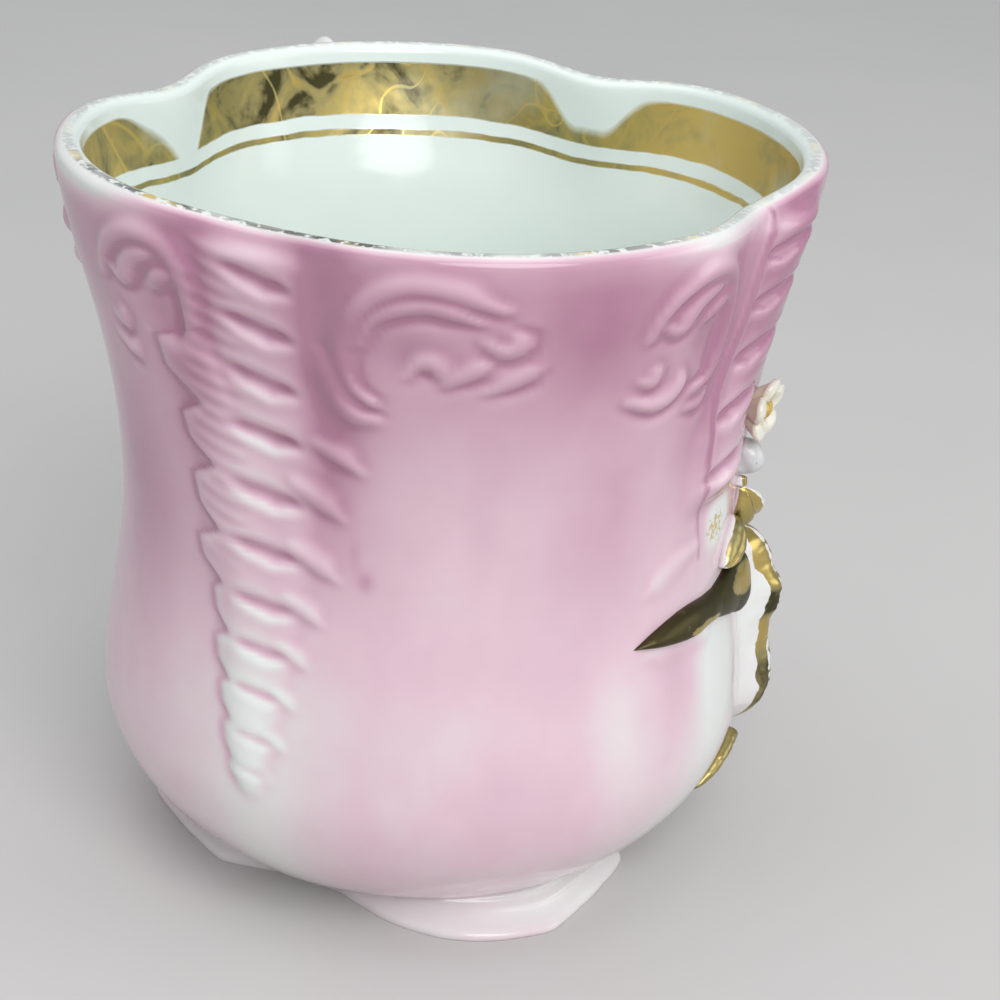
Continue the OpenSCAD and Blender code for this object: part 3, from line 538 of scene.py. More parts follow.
    def over(self, u, v, high):
        """Places on the outside, in mm along and up from the sprig's middle, lifted off the wall."""
        a = np.degrees(np.asarray(u) / (self.s["waist_width"] / 2))
        z = self.s["waist_height"] - SPRIG_DROP + np.asarray(v)
        return on_cup(a, self.outer(a, z) + high, z)


# Walls by their sizes.
WALLS = {}


def cup_wall(context):
    """The wall for the scene's sizes, worked out once, and the sizes in mm."""
    sizes = context.scene.cup_sizes
    key = tuple(getattr(sizes, name) for name in CupSizes.__annotations__)
    if key not in WALLS:
        WALLS[key] = Wall(sizes)
    return WALLS[key], WALLS[key].s


def on_cup(a, r, z):
    """Places by degrees round from the sprig's middle, radius and height."""
    a = np.radians(a)
    return np.column_stack([r * np.sin(a), -r * np.cos(a), z])


def make_piece(name, bm, node, finish, attributes=None):
    """Turns a bmesh in mm into a finished piece that stands for a solid."""
    bmesh.ops.recalc_face_normals(bm, faces=bm.faces)
    bmesh.ops.scale(bm, vec=(MM, MM, MM), verts=bm.verts)
    mesh = bpy.data.meshes.new(name)
    bm.to_mesh(mesh)
    bm.free()
    mesh.polygons.foreach_set("use_smooth", np.ones(len(mesh.polygons), bool))
    for key, values in (attributes or {}).items():
        if len(values) != len(mesh.vertices):
            raise RuntimeError(f"{name}: {key} has {len(values)} values for {len(mesh.vertices)} vertices")
        mesh.attributes.new(key, "FLOAT", "POINT").data.foreach_set("value", np.asarray(values, np.float32))
    mesh.materials.append(finish)
    piece = bpy.data.objects.new(name, mesh)
    bpy.context.scene.collection.objects.link(piece)
    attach(piece, "root")
    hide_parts(node)


def places(bm):
    """Where the vertices are."""
    return np.array([v.co[:] for v in bm.verts])


def turn_of(co):
    """Degrees round the cup from the sprig's middle."""
    return np.degrees(np.arctan2(co[:, 0], -co[:, 1]))


def move(bm, spots):
    """Puts the vertices on these places."""
    for v, spot in zip(bm.verts, spots):
        v.co = spot


def spun(profile, steps):
    """A profile of points and cuts, spun a quarter turn, then repeated for the four panels."""
    bm = bmesh.new()
    corners = [bm.verts.new((r, 0, z)) for r, z, cuts in profile]
    edges = [bm.edges.new(pair) for pair in zip(corners, corners[1:])]
    for edge, (r, z, cuts) in zip(edges, profile[1:]):
        bmesh.ops.subdivide_edges(bm, edges=[edge], cuts=cuts)
    bmesh.ops.spin(bm, geom=bm.verts[:] + bm.edges[:], cent=(0, 0, 0), axis=(0, 0, 1), angle=math.pi / 2, steps=steps)
    quarter = bm.verts[:] + bm.edges[:] + bm.faces[:]
    for panel in (1, 2, 3):
        copy = bmesh.ops.duplicate(bm, geom=quarter)["geom"]
        bmesh.ops.rotate(bm, cent=(0, 0, 0), matrix=Matrix.Rotation(panel * math.pi / 2, 3, "Z"),
                         verts=[v for v in copy if isinstance(v, bmesh.types.BMVert)])
    bmesh.ops.remove_doubles(bm, verts=bm.verts, dist=1e-5)
    return bm


def ball(around, along):
    """A ball, with the turn round it and the share of the way from its top to its bottom, for each vertex."""
    bm = bmesh.new()
    bmesh.ops.create_uvsphere(bm, u_segments=around, v_segments=along, radius=1.0)
    co = places(bm)
    return bm, np.arctan2(co[:, 1], co[:, 0]), np.arccos(np.clip(co[:, 2], -1, 1)) / math.pi


def grain(spots, scale, seed):
    """Even noise between -1 and 1 at each place."""
    shift = Vector((seed * 7.3, seed * 3.1, seed * 5.7))
    return np.array([noise.noise(Vector(p) * scale + shift) for p in spots])


# Materials by name.
FINISHES = {}


class Finish:
    """A procedural material and the few kinds of node that the finishes use."""

    def __init__(self, name):
        self.material = FINISHES[name] = bpy.data.materials.new(name)
        self.material.use_nodes = True
        self.nodes, self.links = self.material.node_tree.nodes, self.material.node_tree.links
        self.shader = next(n for n in self.nodes if n.type == "BSDF_PRINCIPLED")
        self.coords = self.nodes.new("ShaderNodeTexCoord").outputs["Object"]

    def put(self, socket, value):
        if isinstance(value, bpy.types.NodeSocket):
            self.links.new(value, socket)
        elif hasattr(value, "__len__"):
            socket.default_value = tuple(value)[:3] + (1.0,)
        else:
            socket.default_value = value

    def set(self, **values):
        for key, value in values.items():
            self.put(self.shader.inputs[key.replace("_", " ").title().replace("Ior", "IOR")], value)

    def attribute(self, name):
        node = self.nodes.new("ShaderNodeAttribute")
        node.attribute_name = name
        return node.outputs["Fac"]

    def noise(self, scale, detail=3.0, stretch=(1, 1, 1), twist=0.0):
        where = self.coords
        if stretch != (1, 1, 1):
            mapping = self.nodes.new("ShaderNodeMapping")
            mapping.inputs["Scale"].default_value = stretch
            self.links.new(where, mapping.inputs["Vector"])
            where = mapping.outputs["Vector"]
        node = self.nodes.new("ShaderNodeTexNoise")
        node.inputs["Scale"].default_value = scale
        node.inputs["Detail"].default_value = detail
        node.inputs["Distortion"].default_value = twist
        self.links.new(where, node.inputs["Vector"])
        return node.outputs["Fac"]

    def sums(self, kind, *values):
        node = self.nodes.new("ShaderNodeMath")
        node.operation = kind
        for socket, value in zip(node.inputs, values):
            self.put(socket, value)
        return node.outputs["Value"]

    def plus(self, *values):
        return reduce(lambda a, b: self.sums("ADD", a, b), values)

    def less(self, a, b):
        return self.sums("SUBTRACT", a, b)

    def times(self, *values):
        return reduce(lambda a, b: self.sums("MULTIPLY", a, b), values)

    def stray(self, amount, *grain):
        """Noise to both sides of 0."""
        return self.times(self.less(self.noise(*grain), 0.5), amount)

    def ramp(self, value, *stops):
        node = self.nodes.new("ShaderNodeValToRGB")
        while len(node.color_ramp.elements) < len(stops):
            node.color_ramp.elements.new(0.5)
        for element, (at, shade) in zip(node.color_ramp.elements, stops):
            element.position = at
            element.color = tuple(shade)[:3] + (1,) if hasattr(shade, "__len__") else (shade, shade, shade, 1)
        self.links.new(value, node.inputs["Fac"])
        return node.outputs["Color"]

    def blend(self, fac, a, b):
        node = self.nodes.new("ShaderNodeMix")
        node.data_type = "RGBA"
        self.put(node.inputs[0], fac)
        self.put(node.inputs[6], a)
        self.put(node.inputs[7], b)
        return node.outputs[2]

    def bump(self, height, depth, strength):
        node = self.nodes.new("ShaderNodeBump")
        node.inputs["Strength"].default_value = strength
        node.inputs["Distance"].default_value = depth * MM
        self.links.new(height, node.inputs["Height"])
        self.links.new(node.outputs["Normal"], self.shader.inputs["Normal"])


def gold_shades(f, colours, shade, cloudy):
    """Colour and roughness of rubbed gilding, lighter where the shade is more, and so much clouded; the clouds and the
    darkest tone are partly painted dark reflection.
    """
    cloud = f.plus(f.times(f.noise(150, 4, twist=1.2), cloudy), 0.5 - cloudy / 2)
    tone = f.plus(cloud, f.stray(0.18, 900, 2), shade)
    gold = f.ramp(tone, (0.2, mixed(colours.old_gold, (0, 0, 0), 0.78)), (0.34, colours.old_gold),
                  (0.5, mixed(colours.old_gold, colours.gold, 0.6)), (0.62, colours.gold))
    return gold, f.ramp(tone, (0.3, 0.42), (0.65, 0.16))


def body_finish(colours):
    """Pink airbrushed glaze outside with painted shade in it, white inside, gilt bands under the rim with painted
    reflections, and worn specks on the lip.
    """
    f = Finish("pink_glaze")
    inset, pink, gild, wear, painted_gleam, dab = (f.attribute(key) for key in GLAZE_FIELDS)
    spray = f.plus(f.stray(0.5, 46, 3, (1, 1, 0.55)), f.stray(0.08, 260, 2))
    # The pink field carries painted shade and light as well as the glaze's own pink.
    pink_and_shade_level = f.plus(pink, f.times(spray, f.ramp(pink, (0.0, 0.1), (0.25, 1.0))))
    outside = f.ramp(pink_and_shade_level, (0.02, colours.white), (0.34, colours.pale_pink), (0.66, colours.pink),
                     (1.0, colours.deep_pink))
    inner = f.ramp(f.noise(30, 2), (0.3, mixed(colours.inside, (0.7, 0.79, 0.76), 0.6)), (0.7, colours.inside))
    crest = f.plus(f.times(inset, 0.1), 0.5)
    glaze = f.blend(f.ramp(crest, (0.48, 0.0), (0.56, 1.0)), outside, inner)
    specks = f.ramp(f.noise(330, 1), (0.165, 1.0), (0.175, 0.0))
    glaze = f.blend(f.times(specks, 0.75), glaze, (0.12, 0.09, 0.08))
    rubbed = f.times(f.ramp(f.noise(1100, 3), (0.4, 0.0), (0.5, 1.0)),
                     f.ramp(crest, (0.42, 0.0), (0.46, 1.0), (0.54, 1.0), (0.6, 0.0)),
                     f.ramp(f.noise(75, 3), (0.36, 0.15), (0.52, 1.0)), wear)
    glaze = f.blend(rubbed, glaze, f.ramp(f.noise(140, 1), (0.56, (0.10, 0.10, 0.09)), (0.62, colours.gold)))
    stipple = f.times(f.ramp(f.plus(f.times(dab, 0.2), f.noise(1700, 3)), (0.64, 0.0), (0.7, 0.9)),
                      f.ramp(dab, (0.05, 0.0), (0.3, 1.0)))
    glaze = f.blend(stipple, glaze, mixed(colours.pollen, colours.old_gold, 0.4))
    wobble = f.stray(0.9, 140, 3)
    band = f.ramp(f.plus(f.times(f.plus(gild, wobble), 0.1), 0.5), (0.5, 0.0), (0.6, 1.0))
    depth = f.times(f.plus(inset, wobble), 0.05)
    gilt = f.sums("MAXIMUM", f.times(band, f.ramp(depth, (0.45, 1.0), (0.458, 0.0))),
                  f.ramp(depth, (0.538, 0.0), (0.544, 1.0), (0.574, 1.0), (0.58, 0.0)))
    # Thin bright swirling lines on the gold are painted reflections.
    swirl = f.noise(62, 1, twist=0.8)
    painted_glints = f.ramp(swirl, (0.465, 0.0), (0.475, 0.3), (0.485, 0.0), (0.62, 0.0), (0.63, 0.28), (0.64, 0.0))
    # The painted gleam field lightens the gold and lowers its metallic as a painted reflection.
    gold, rough = gold_shades(f, colours, f.plus(painted_glints, f.times(painted_gleam, 0.16)), 1.0)
    milky = f.times(f.ramp(f.noise(55, 4), (0.54, 0.0), (0.7, 0.6)), gilt)
    f.set(base_color=f.blend(milky, f.blend(gilt, glaze, gold), (0.62, 0.62, 0.50)),
          metallic=f.times(f.less(gilt, f.times(milky, 0.6)), f.less(0.8, f.times(painted_gleam, 0.4))),
          roughness=f.plus(f.times(gilt, rough), 0.13), ior=1.52)
    f.bump(f.noise(210, 2), 0.25, 0.25)
    return f.material


def white_finish(name, white, tint):
    """White glaze that turns to its tint where its deep field is high: in a blossom's cup, a bud's folds, a handle's
    seats.
    """
    f = Finish(name)
    base = f.ramp(f.plus(f.attribute("deep"), f.stray(0.5, 240, 3)), (0.2, white), (0.9, tint))
    specks = f.ramp(f.noise(700, 1), (0.2, 0.6), (0.22, 0.0))
    f.set(base_color=f.blend(specks, base, (0.16, 0.13, 0.10)),
          roughness=f.ramp(f.noise(180, 2), (0.3, 0.12), (0.7, 0.2)), ior=1.52)
    f.bump(f.noise(420, 2), 0.2, 0.3)
    return f.material


def gilt_finish(colours):
    """Rubbed gilding over white porcelain, bare along the edges."""
    f = Finish("gilding")
    gold, rough = gold_shades(f, colours, f.attribute("shade"), 0.45)
    ragged = f.plus(f.attribute("bare"), f.stray(0.55, 520, 3))
    gilt = f.ramp(ragged, (0.5, 1.0), (0.56, 0.0))
    white = f.ramp(f.noise(160, 2), (0.35, mixed(colours.white, colours.pale_pink, 0.3)), (0.65, colours.white))
    f.set(base_color=f.blend(gilt, white, gold), metallic=gilt,
          roughness=f.plus(f.times(gilt, f.less(rough, 0.14)), 0.14), ior=1.52)
    f.bump(f.noise(800, 3), 0.1, 0.25)
    return f.material


def pollen_finish(colours):
    """Grainy yellow enamel."""
    f = Finish("pollen_enamel")
    dots = f.noise(2600, 2)
    f.set(base_color=f.ramp(dots, (0.35, mixed(colours.pollen, (0.35, 0.2, 0.03), 0.7)), (0.6, colours.pollen)),
          roughness=f.ramp(dots, (0.3, 0.55), (0.7, 0.3)), ior=1.5)
    f.bump(dots, 0.3, 0.6)
    return f.material


def pink_with_painted_shade(wall, a, z):
    """How thick the pink lies: strong under the rim, beside the columns and in the hollows, thin on the belly, with
    painted shade where the relief faces down, painted light where it faces up, and painted shade and light in patches.
    """
    base = wall.outline(z)
    hollow = np.clip(wall.read(wall.hollow, a, z), -0.06, 0.3)
    up = np.interp(z, (4, 10, 20, 30, 38, 48, 56, 62, 68, 76, 82, 85, 86),
                   (0.24, 0.27, 0.25, 0.27, 0.33, 0.36, 0.4, 0.48, 0.62, 0.78, 0.8, 0.68, 0.55))
    side = np.radians(apart(a, 45)) * base
    edge = bell(np.abs(side) - 8.5, 4.2)
    on = bell(side, 6.0)
    thick = up + 0.34 * edge * smooth((z - 40) / 30)
    thick -= on * np.interp(z, (18, 32, 42, 48, 60, 80), (0.18, 0.22, 0.08, 0.02, 0.14, 0.22))
    # More pink where the relief faces down is painted shade, and less where it faces up is painted light, partly also
    # the spray's direction; the pink pools in the hollows.
    thick += 0.22 * np.clip(wall.read(wall.slope, a, z), -0.5, 0.6) + 1.9 * hollow
    thick += np.interp(z, (20, 45), (0.1, 0.24)) * wall.lines(a, z)
    # A white spot under the dab, and white ground behind the sprig.
    bare = ((a + 41.5) / 5.5) ** 2 + ((z - 48.0) / 4.0) ** 2
    thick -= 0.5 * np.exp(-bare ** 2)
    for turn, height, wide, tall, amount in PATCHES:
        thick += amount * bell((a - turn + 180) % 360 - 180, wide, z - height, tall)
    sprig = bell(a + 14, 15) * smooth((50 - z) / 6)
    return np.clip(thick * (1 - 0.9 * sprig), 0, 1)


def gilding(a, inset):
    """How far each place lies inside the gilt band, which ends or is rubbed away towards the valleys."""
    lobe = np.abs(apart(a, 0))
    bare = np.where(np.abs(a - 45) < 45, 4.0, 8.0) * smooth((lobe - 33) / 9) ** 1.2
    bare = np.where(np.abs(a) > 135, 6.6 * np.clip((lobe - 28) / 17.5, 0, 1) ** 1.8, bare)
    return (inset - 2.7 - bare) / (0.3 + smooth((lobe - 28) / 10))


class CUP_OT_body(bpy.types.Operator):
    """Spin the cup's body and raise its columns and scrolls"""

    bl_idname = "cup.make_body"
    bl_label = "Cup body"

    def execute(self, context):
        wall, s = cup_wall(context)
        thin, low = 0.9, 0.1
        # Radius, height and cuts of each stretch: underside, outside, lip, inside and floor.
        bm = spun(((0, 0, 0), (1, 0, 2), (1, 1, 190), (thin, 1, 7), (thin, low, 20), (0, low, 4)), 108)
        co = places(bm)
        a = turn_of(co)
        # The mesh is closer at the columns.
        a = a + 4.3 * np.sin(np.radians(4 * a))
        rho, up = np.hypot(co[:, 0], co[:, 1]), co[:, 2]
        is_outer = rho > 1 - TINY
        is_under, is_lip = (up < TINY) & ~is_outer, (up > 1 - TINY) & ~is_outer
        is_floor = (np.abs(up - low) < TINY) & (rho < thin + TINY)
        is_inner = (np.abs(rho - thin) < TINY) & (up > low + TINY) & (up < 1 - TINY)
        brim = wall.rim(a) - LIP_RISE
        # Rows of the mesh lie closer towards the rim.
        outer_z = mix(wall.foot, brim, np.interp(up, (0, 0.06, 0.56, 1), (0, 0.17, 0.7, 1)))
        inner_z = mix(wall.floor, brim, np.interp(up, (low, 0.42, 1), (0, 0.8, 1)))
        turn = math.pi * np.clip((1 - rho) / (1 - thin), 0, 1)
        top_out, top_in = wall.outer(a, brim), wall.inner(a, brim)
        lip_r = (top_out + top_in) / 2 + (top_out - top_in) / 2 * np.cos(turn)
        under_r, floor_r = rho * wall.outline(wall.foot), rho / thin * wall.inner(a, wall.floor)
        kinds = (is_outer, is_lip, is_floor, is_under)
        r = np.select(kinds, (wall.outer(a, outer_z), lip_r, floor_r, under_r), wall.inner(a, inner_z))
        z = np.select(kinds, (outer_z, brim + LIP_RISE * np.sin(turn), wall.floor, wall.foot), inner_z)
        move(bm, on_cup(a, r, z))
        bmesh.ops.triangulate(bm, faces=bm.faces, quad_method="SHORT_EDGE")
        inset = LIP_HALF + (brim - z)
        inset = np.select((is_lip, is_outer | is_under), (-LIP_HALF * np.cos(turn), -inset), inset)
        brink = pink_with_painted_shade(wall, a, brim) * (1 - smooth((turn - 0.4) / 0.9))
        along = np.radians(a) * s["waist_width"] / 2 - DAB[0]
        above = outer_z - s["waist_height"] + SPRIG_DROP - DAB[1]
        make_piece("pink_body", bm, "cup_body", body_finish(context.scene.cup_colours), {
            "inset": inset,
            "pink": np.select((is_outer, is_lip), (pink_with_painted_shade(wall, a, outer_z), brink), 0.0),
            "gild": np.where(is_inner | is_floor | is_lip, gilding(a, inset), UNGILT),
            "wear": 0.3 + 0.7 * bell(a + 148, 34) + bell(a + 105, 26),
            # Painted reflection on the gilding: lighter and less metallic near the sprig, darker by the handle.
            "painted_gleam": 1.2 * bell(a - 18, 26) - 0.9 * bell(a - 95, 36) - 0.2,
            "dab": np.where(is_outer, np.exp(-((along / 2.1) ** 2 + (above / 1.7) ** 2) ** 2), 0.0)})
        return {"FINISHED"}


class CUP_OT_foot(bpy.types.Operator):
    """Spin the flared foot and draw it in between its three lobes"""

    bl_idname = "cup.make_foot"
    bl_label = "Foot ring"

    def execute(self, context):
        wall, s = cup_wall(context)
        # Radius, height and cuts of each stretch: standing ring, outside, top and inside.
        bm = spun(((1.0, 0.0, 0), (2.0, 0.0, 5), (2.0, 1.0, 22), (1.0, 1.0, 5), (1.0, 0.0, 9)), 72)
        co = places(bm)
        a = turn_of(co)
        out, up = np.hypot(co[:, 0], co[:, 1]) - 1, co[:, 2]
        turn = (a - FOOT_LOBE + 60) % 120 - 60
        lobe = np.interp(turn, *np.array(FOOT_EDGE).T)
        edge = s["foot_width"] / 2 - s["foot_notch"] * (1 - lobe)
        neck = np.minimum(wall.outline(wall.foot) - 0.8 - s["foot_notch"] / 2 * (1 - lobe), edge + 0.8)
        flare = np.interp(up, (0, 0.1, 0.2, 0.32, 0.45, 0.6, 0.75, 0.9, 1.0),
                          (0.96, 1.0, 0.98, 0.84, 0.58, 0.32, 0.16, 0.06, 0.0))
        fin = bell(up - 0.62, 0.07) + 0.7 * bell(up - 0.86, 0.06)
        outer = mix(neck, edge, flare) + 0.7 * fin * smooth((turn + 14) / 26) * smooth((58 - turn) / 12)
        inner = edge - s["foot_ring"] - 1.2 * np.sin(np.pi * up)
        move(bm, on_cup(a, mix(inner, outer, out), up * wall.foot))
        fields = {key: np.zeros(len(a)) for key in GLAZE_FIELDS}
        fields["inset"] += FAR_OUT
        fields["gild"] += UNGILT
        fields["pink"] += (0.11 + 0.14 * bell(turn - 2, 12) * smooth((0.45 - up) / 0.3)) * (out > 0.5)
        make_piece("flared_foot", bm, "foot_ring", FINISHES["pink_glaze"], fields)
        return {"FINISHED"}


class CUP_OT_handle(bpy.types.Operator):
    """Draw the loop handle with its thumb rest"""

    bl_idname = "cup.make_handle"
    bl_label = "Handle"

    def execute(self, context):
        wall, s = cup_wall(context)
        bm, turn, t = ball(40, 130)
        root, low = (wall.outer(HANDLE_TURN, z) - 1.0 for z in (HANDLE_TOP, HANDLE_END))
        crown, far = np.array([root + 0.55 * HANDLE_REACH, HANDLE_CROWN]), root + 1.35 * HANDLE_REACH
        rise = crown - (root, HANDLE_TOP)
        first = ((root, HANDLE_TOP), (root + rise[0] / 2, HANDLE_TOP + rise[1] / 5),
                 (crown[0] - rise[0] / 2, crown[1]), crown)
        second = (crown, (far, crown[1]), (far - HANDLE_REACH / 4, HANDLE_END - 2), (low, HANDLE_END))
        ease = np.clip(0.5 - 0.5 * np.cos(np.pi * t), 0, 1) * 0.35 + t * 0.65

        def middle(x):
            x = np.clip(x, 0, 1)
            before, after = x / BEFORE_CROWN, (x - BEFORE_CROWN) / (1 - BEFORE_CROWN)
            return np.where((before < 1)[:, None], bezier(first, np.clip(before, 0, 1)),
                            bezier(second, np.clip(after, 0, 1)))

        line = middle(ease)
        run = middle(ease + 1e-3) - middle(ease - 1e-3)
        run /= np.linalg.norm(run, axis=1)[:, None]
        level = np.maximum(smooth((0.12 - ease) / 0.12), smooth((ease - 0.9) / 0.1))
        run = mix(run, np.where((ease < 0.5)[:, None], (1.0, 0.0), (-1.0, 0.0)), level[:, None])
        run /= np.linalg.norm(run, axis=1)[:, None]
        square = np.column_stack([-run[:, 1], run[:, 0]])
        end = np.sqrt(np.clip(1 - np.abs(2 * t - 1) ** 24, 0, 1))
        seat = 1 + 0.35 * np.maximum(smooth((0.1 - ease) / 0.1), smooth((ease - 0.9) / 0.1))
        size = mix(1.0, 0.82, ease) * seat * end
        groove = 1 - 0.09 * bell(np.sin(turn) - 1, 0.12)
        thumb = bell(ease - BEFORE_CROWN, 0.06) * np.clip(np.sin(turn), 0, 1) ** 2
        wide = s["handle_width"] / 2 * size * np.cos(turn) * (1 - 0.35 * thumb)
        high = s["handle_thickness"] / 2 * size * np.sin(turn) * groove + s["thumb_rest"] * thumb
        out = line[:, 0] + square[:, 0] * high
        z = line[:, 1] + square[:, 1] * high
        sine, cosine = math.sin(math.radians(HANDLE_TURN)), math.cos(math.radians(HANDLE_TURN))
        move(bm, np.column_stack([out * sine + wide * cosine, wide * sine - out * cosine, z]))
        colours = context.scene.cup_colours
        glaze = white_finish("handle_glaze", colours.white, colours.pale_pink)
        make_piece("loop_handle", bm, "handle", glaze, {"deep": level * 0.5})
        return {"FINISHED"}


def strand(wall, name, finish, full, path, rows, rough, seed, mesh, bare, flanked=False, bright=()):
    """A knotty twig on the wall, of the full width and height. A flanked one has flat sides below its crest, and is
    bare along the crest."""
    bm, turn, t = ball(*mesh)
    p = bezier(path, t)
    ahead = bezier(path, np.clip(t + 1e-3, 0, 1)) - bezier(path, np.clip(t - 1e-3, 0, 1))
    ahead /= np.maximum(np.linalg.norm(ahead, axis=1), 1e-9)[:, None]
    side = np.column_stack([-ahead[:, 1], ahead[:, 0]])
    at, widths, heights, shades = np.array(rows, float).T
    blunt = np.where(t < 0.5, 12, 5) if flanked else 8
    ends = np.sqrt(np.clip(1 - np.abs(2 * t - 1) ** blunt, 0, 1))
    across, up = np.cos(turn), np.sin(turn)
    width, height = full[0] * np.interp(t, at, widths) * ends, full[1] * np.interp(t, at, heights) * ends
    spots = np.column_stack([p + side * (width / 2 * across)[:, None], up * 2])
    lump, fine = grain(spots, 0.4, seed), grain(spots, 1.4, seed + 3) * (rough > 0.1)
    back = np.cos(np.pi / 2 * across) ** 2 if flanked else np.abs(up) ** 0.75
    knotty = rough * smooth((0.45 - np.abs(across)) / 0.25) if flanked else rough
    high = np.where(up > TINY, height * back * (1 + knotty * lump + 0.4 * knotty * fine), -0.35 * ends)
    wide = width / 2 * across * (1 + 0.02 * fine * (not flanked))
    move(bm, wall.over(p[:, 0] + side[:, 0] * wide, p[:, 1] + side[:, 1] * wide, high))
    edge = np.abs(across) + np.where(up > -TINY, 0, 1) + 0.12 * lump
    crest = bell(across + 0.06 + 0.12 * fine, 0.09) * flanked
    shade = np.interp(t, at, shades)
    for place, aside, long, broad in bright:
        spot = 1 - ((t - place) / long) ** 2 - ((across - aside) / broad) ** 2 + 0.3 * fine
        shade = shade + 0.38 * smooth(spot / 0.3)
    attributes = {"bare": np.clip(np.maximum(0.5 + (edge - bare) / 0.25, crest), 0, 1), "shade": shade}
    make_piece("gilt_" + name, bm, name, finish, attributes)


class CUP_OT_twigs(bpy.types.Operator):
    """Lay the gilded branch and its twigs on the wall"""

    bl_idname = "cup.make_twigs"
    bl_label = "Branch and twigs"

    def execute(self, context):
        wall, s = cup_wall(context)
        gilt = gilt_finish(context.scene.cup_colours)
        branch, twig = (s["branch_width"], s["branch_height"]), (s["twig_width"], s["twig_height"])
        for name, form in TWIGS.items():
            strand(wall, name, gilt, branch if name == "main_branch" else twig, **form)
        return {"FINISHED"}


class CUP_OT_leaves(bpy.types.Operator):
    """Press the gilded leaves on, each with a rib and a white edge"""

    bl_idname = "cup.make_leaves"
    bl_label = "Leaves"

    def execute(self, context):
        wall, s = cup_wall(context)
        gilt = FINISHES["gilding"]
        for name, (root, tip, lift) in LEAVES.items():
            bm, turn, t = ball(36, 44)
            root, tip = np.array(root, float), np.array(tip, float)
            ahead = (tip - root) / np.linalg.norm(tip - root)
            side = np.array([-ahead[1], ahead[0]])
            along = mix(-0.06, 1.06, t)
            p = root + (tip - root) * along[:, None]
            bow = 0.5 * np.sin(np.pi * along)
            full = np.sin(np.pi * np.clip(t, 0, 1) ** 0.8) ** 0.75
            across, up = np.cos(turn), np.sin(turn)
            wide = s["leaf_width"] / 2 * full * across
            rib = 1 - 0.4 * bell(across, 0.2) + 0.04 * np.cos(9 * np.pi * t) * np.abs(across)
            high = np.where(up > TINY, s["leaf_height"] * full ** 0.5 * (np.abs(up) ** 0.6) * rib, -0.3)
            tilt = full * (lift * (1 - across) if lift else 0.8 * (1 + across)) / 2
            high = high + np.where(up > -0.3, 0.3 * smooth((t - 0.55) / 0.45) + tilt, 0)
            move(bm, wall.over(p[:, 0] + side[0] * (wide + bow), p[:, 1] + side[1] * (wide + bow), high))
            edge = 0.9 * np.abs(across - 0.35) ** 3
            if not lift:
                edge = 0.6 * np.abs(across) ** 8 + 0.6 * smooth((t - 0.78) / 0.2)
            bare = np.clip(edge + (up < 0.1) * 0.5, 0, 1)
            shade = 0.08 * (1 - across ** 2) - (0.06 if lift else 0.16) - 0.1 * smooth((0.16 - t) / 0.16)
            make_piece("gilt_" + name, bm, name, gilt, {"bare": bare, "shade": shade})
        return {"FINISHED"}


class CUP_OT_blossoms(bpy.types.Operator):
    """Model the five-petalled blossoms and their yellow hearts"""

    bl_idname = "cup.make_blossoms"
    bl_label = "Blossoms"

    def execute(self, context):
        wall, s = cup_wall(context)
        colours = context.scene.cup_colours
        petals = white_finish("petal_glaze", mixed(colours.white, (0.80, 0.70, 0.48), 0.35), (0.66, 0.58, 0.36))
        yellow = pollen_finish(colours)
        tall = s["blossom_height"]
        dish = 0.4 * tall
        for name, ((u0, v0), start, lift) in BLOSSOMS.items():
            bm, turn, t = ball(120, 40)
            petal = (np.degrees(turn) - start) / 72 % 1
            bulge = np.sin(np.pi * petal)
            reach = s["blossom_width"] / 2 * (0.66 + 0.34 * bulge ** 0.55)
            top = t <= 0.5
            out = np.where(top, np.sin(np.pi * np.minimum(t, 0.5)), np.sin(np.pi * t) ** 0.7)
            share = np.where(top, out, mix(0.45, 1.0, out))
            radius = reach * share
            lap = 0.28 * (petal - 0.5) * smooth((share - 0.25) / 0.3)
            cup = dish + (tall - dish) * smooth((share - 0.3) / 0.45) * (0.55 + 0.45 * bulge) - 0.25 * share ** 6
            high = np.where(top, cup + lap * tall * 0.6, mix(-0.3, (cup + lap) * 0.62, out ** 1.5))
            x = radius * np.cos(turn)
            high = high + lift * (x / s["blossom_width"] + 0.5) * np.where(top, 1, smooth((share - 0.6) / 0.3))
            move(bm, wall.over(u0 + x, v0 + radius * np.sin(turn), high))
            deep = np.where(top, 1 - smooth((share - 0.25) / 0.4) * (0.6 + 0.4 * bulge), 0.5)
            make_piece("white_" + name + "_blossom", bm, name + "_blossom", petals, {"deep": deep})
            bm, turn, t = ball(36, 20)
            out = np.sin(np.pi * t)
            radius = s["pollen_width"] / 2 * out
            bead = 0.16 * np.abs(np.sin(4 * turn + 9 * t)) * out
            x = radius * np.cos(turn)
            high = dish + 0.1 + np.where(t < 0.5, 0.75 * np.cos(np.pi * t) + bead, -0.2)
            high = high + lift * (x / s["blossom_width"] + 0.5)
            move(bm, wall.over(u0 + x, v0 + radius * np.sin(turn), high))
            make_piece("yellow_" + name + "_heart", bm, name + "_pollen", yellow)
        return {"FINISHED"}


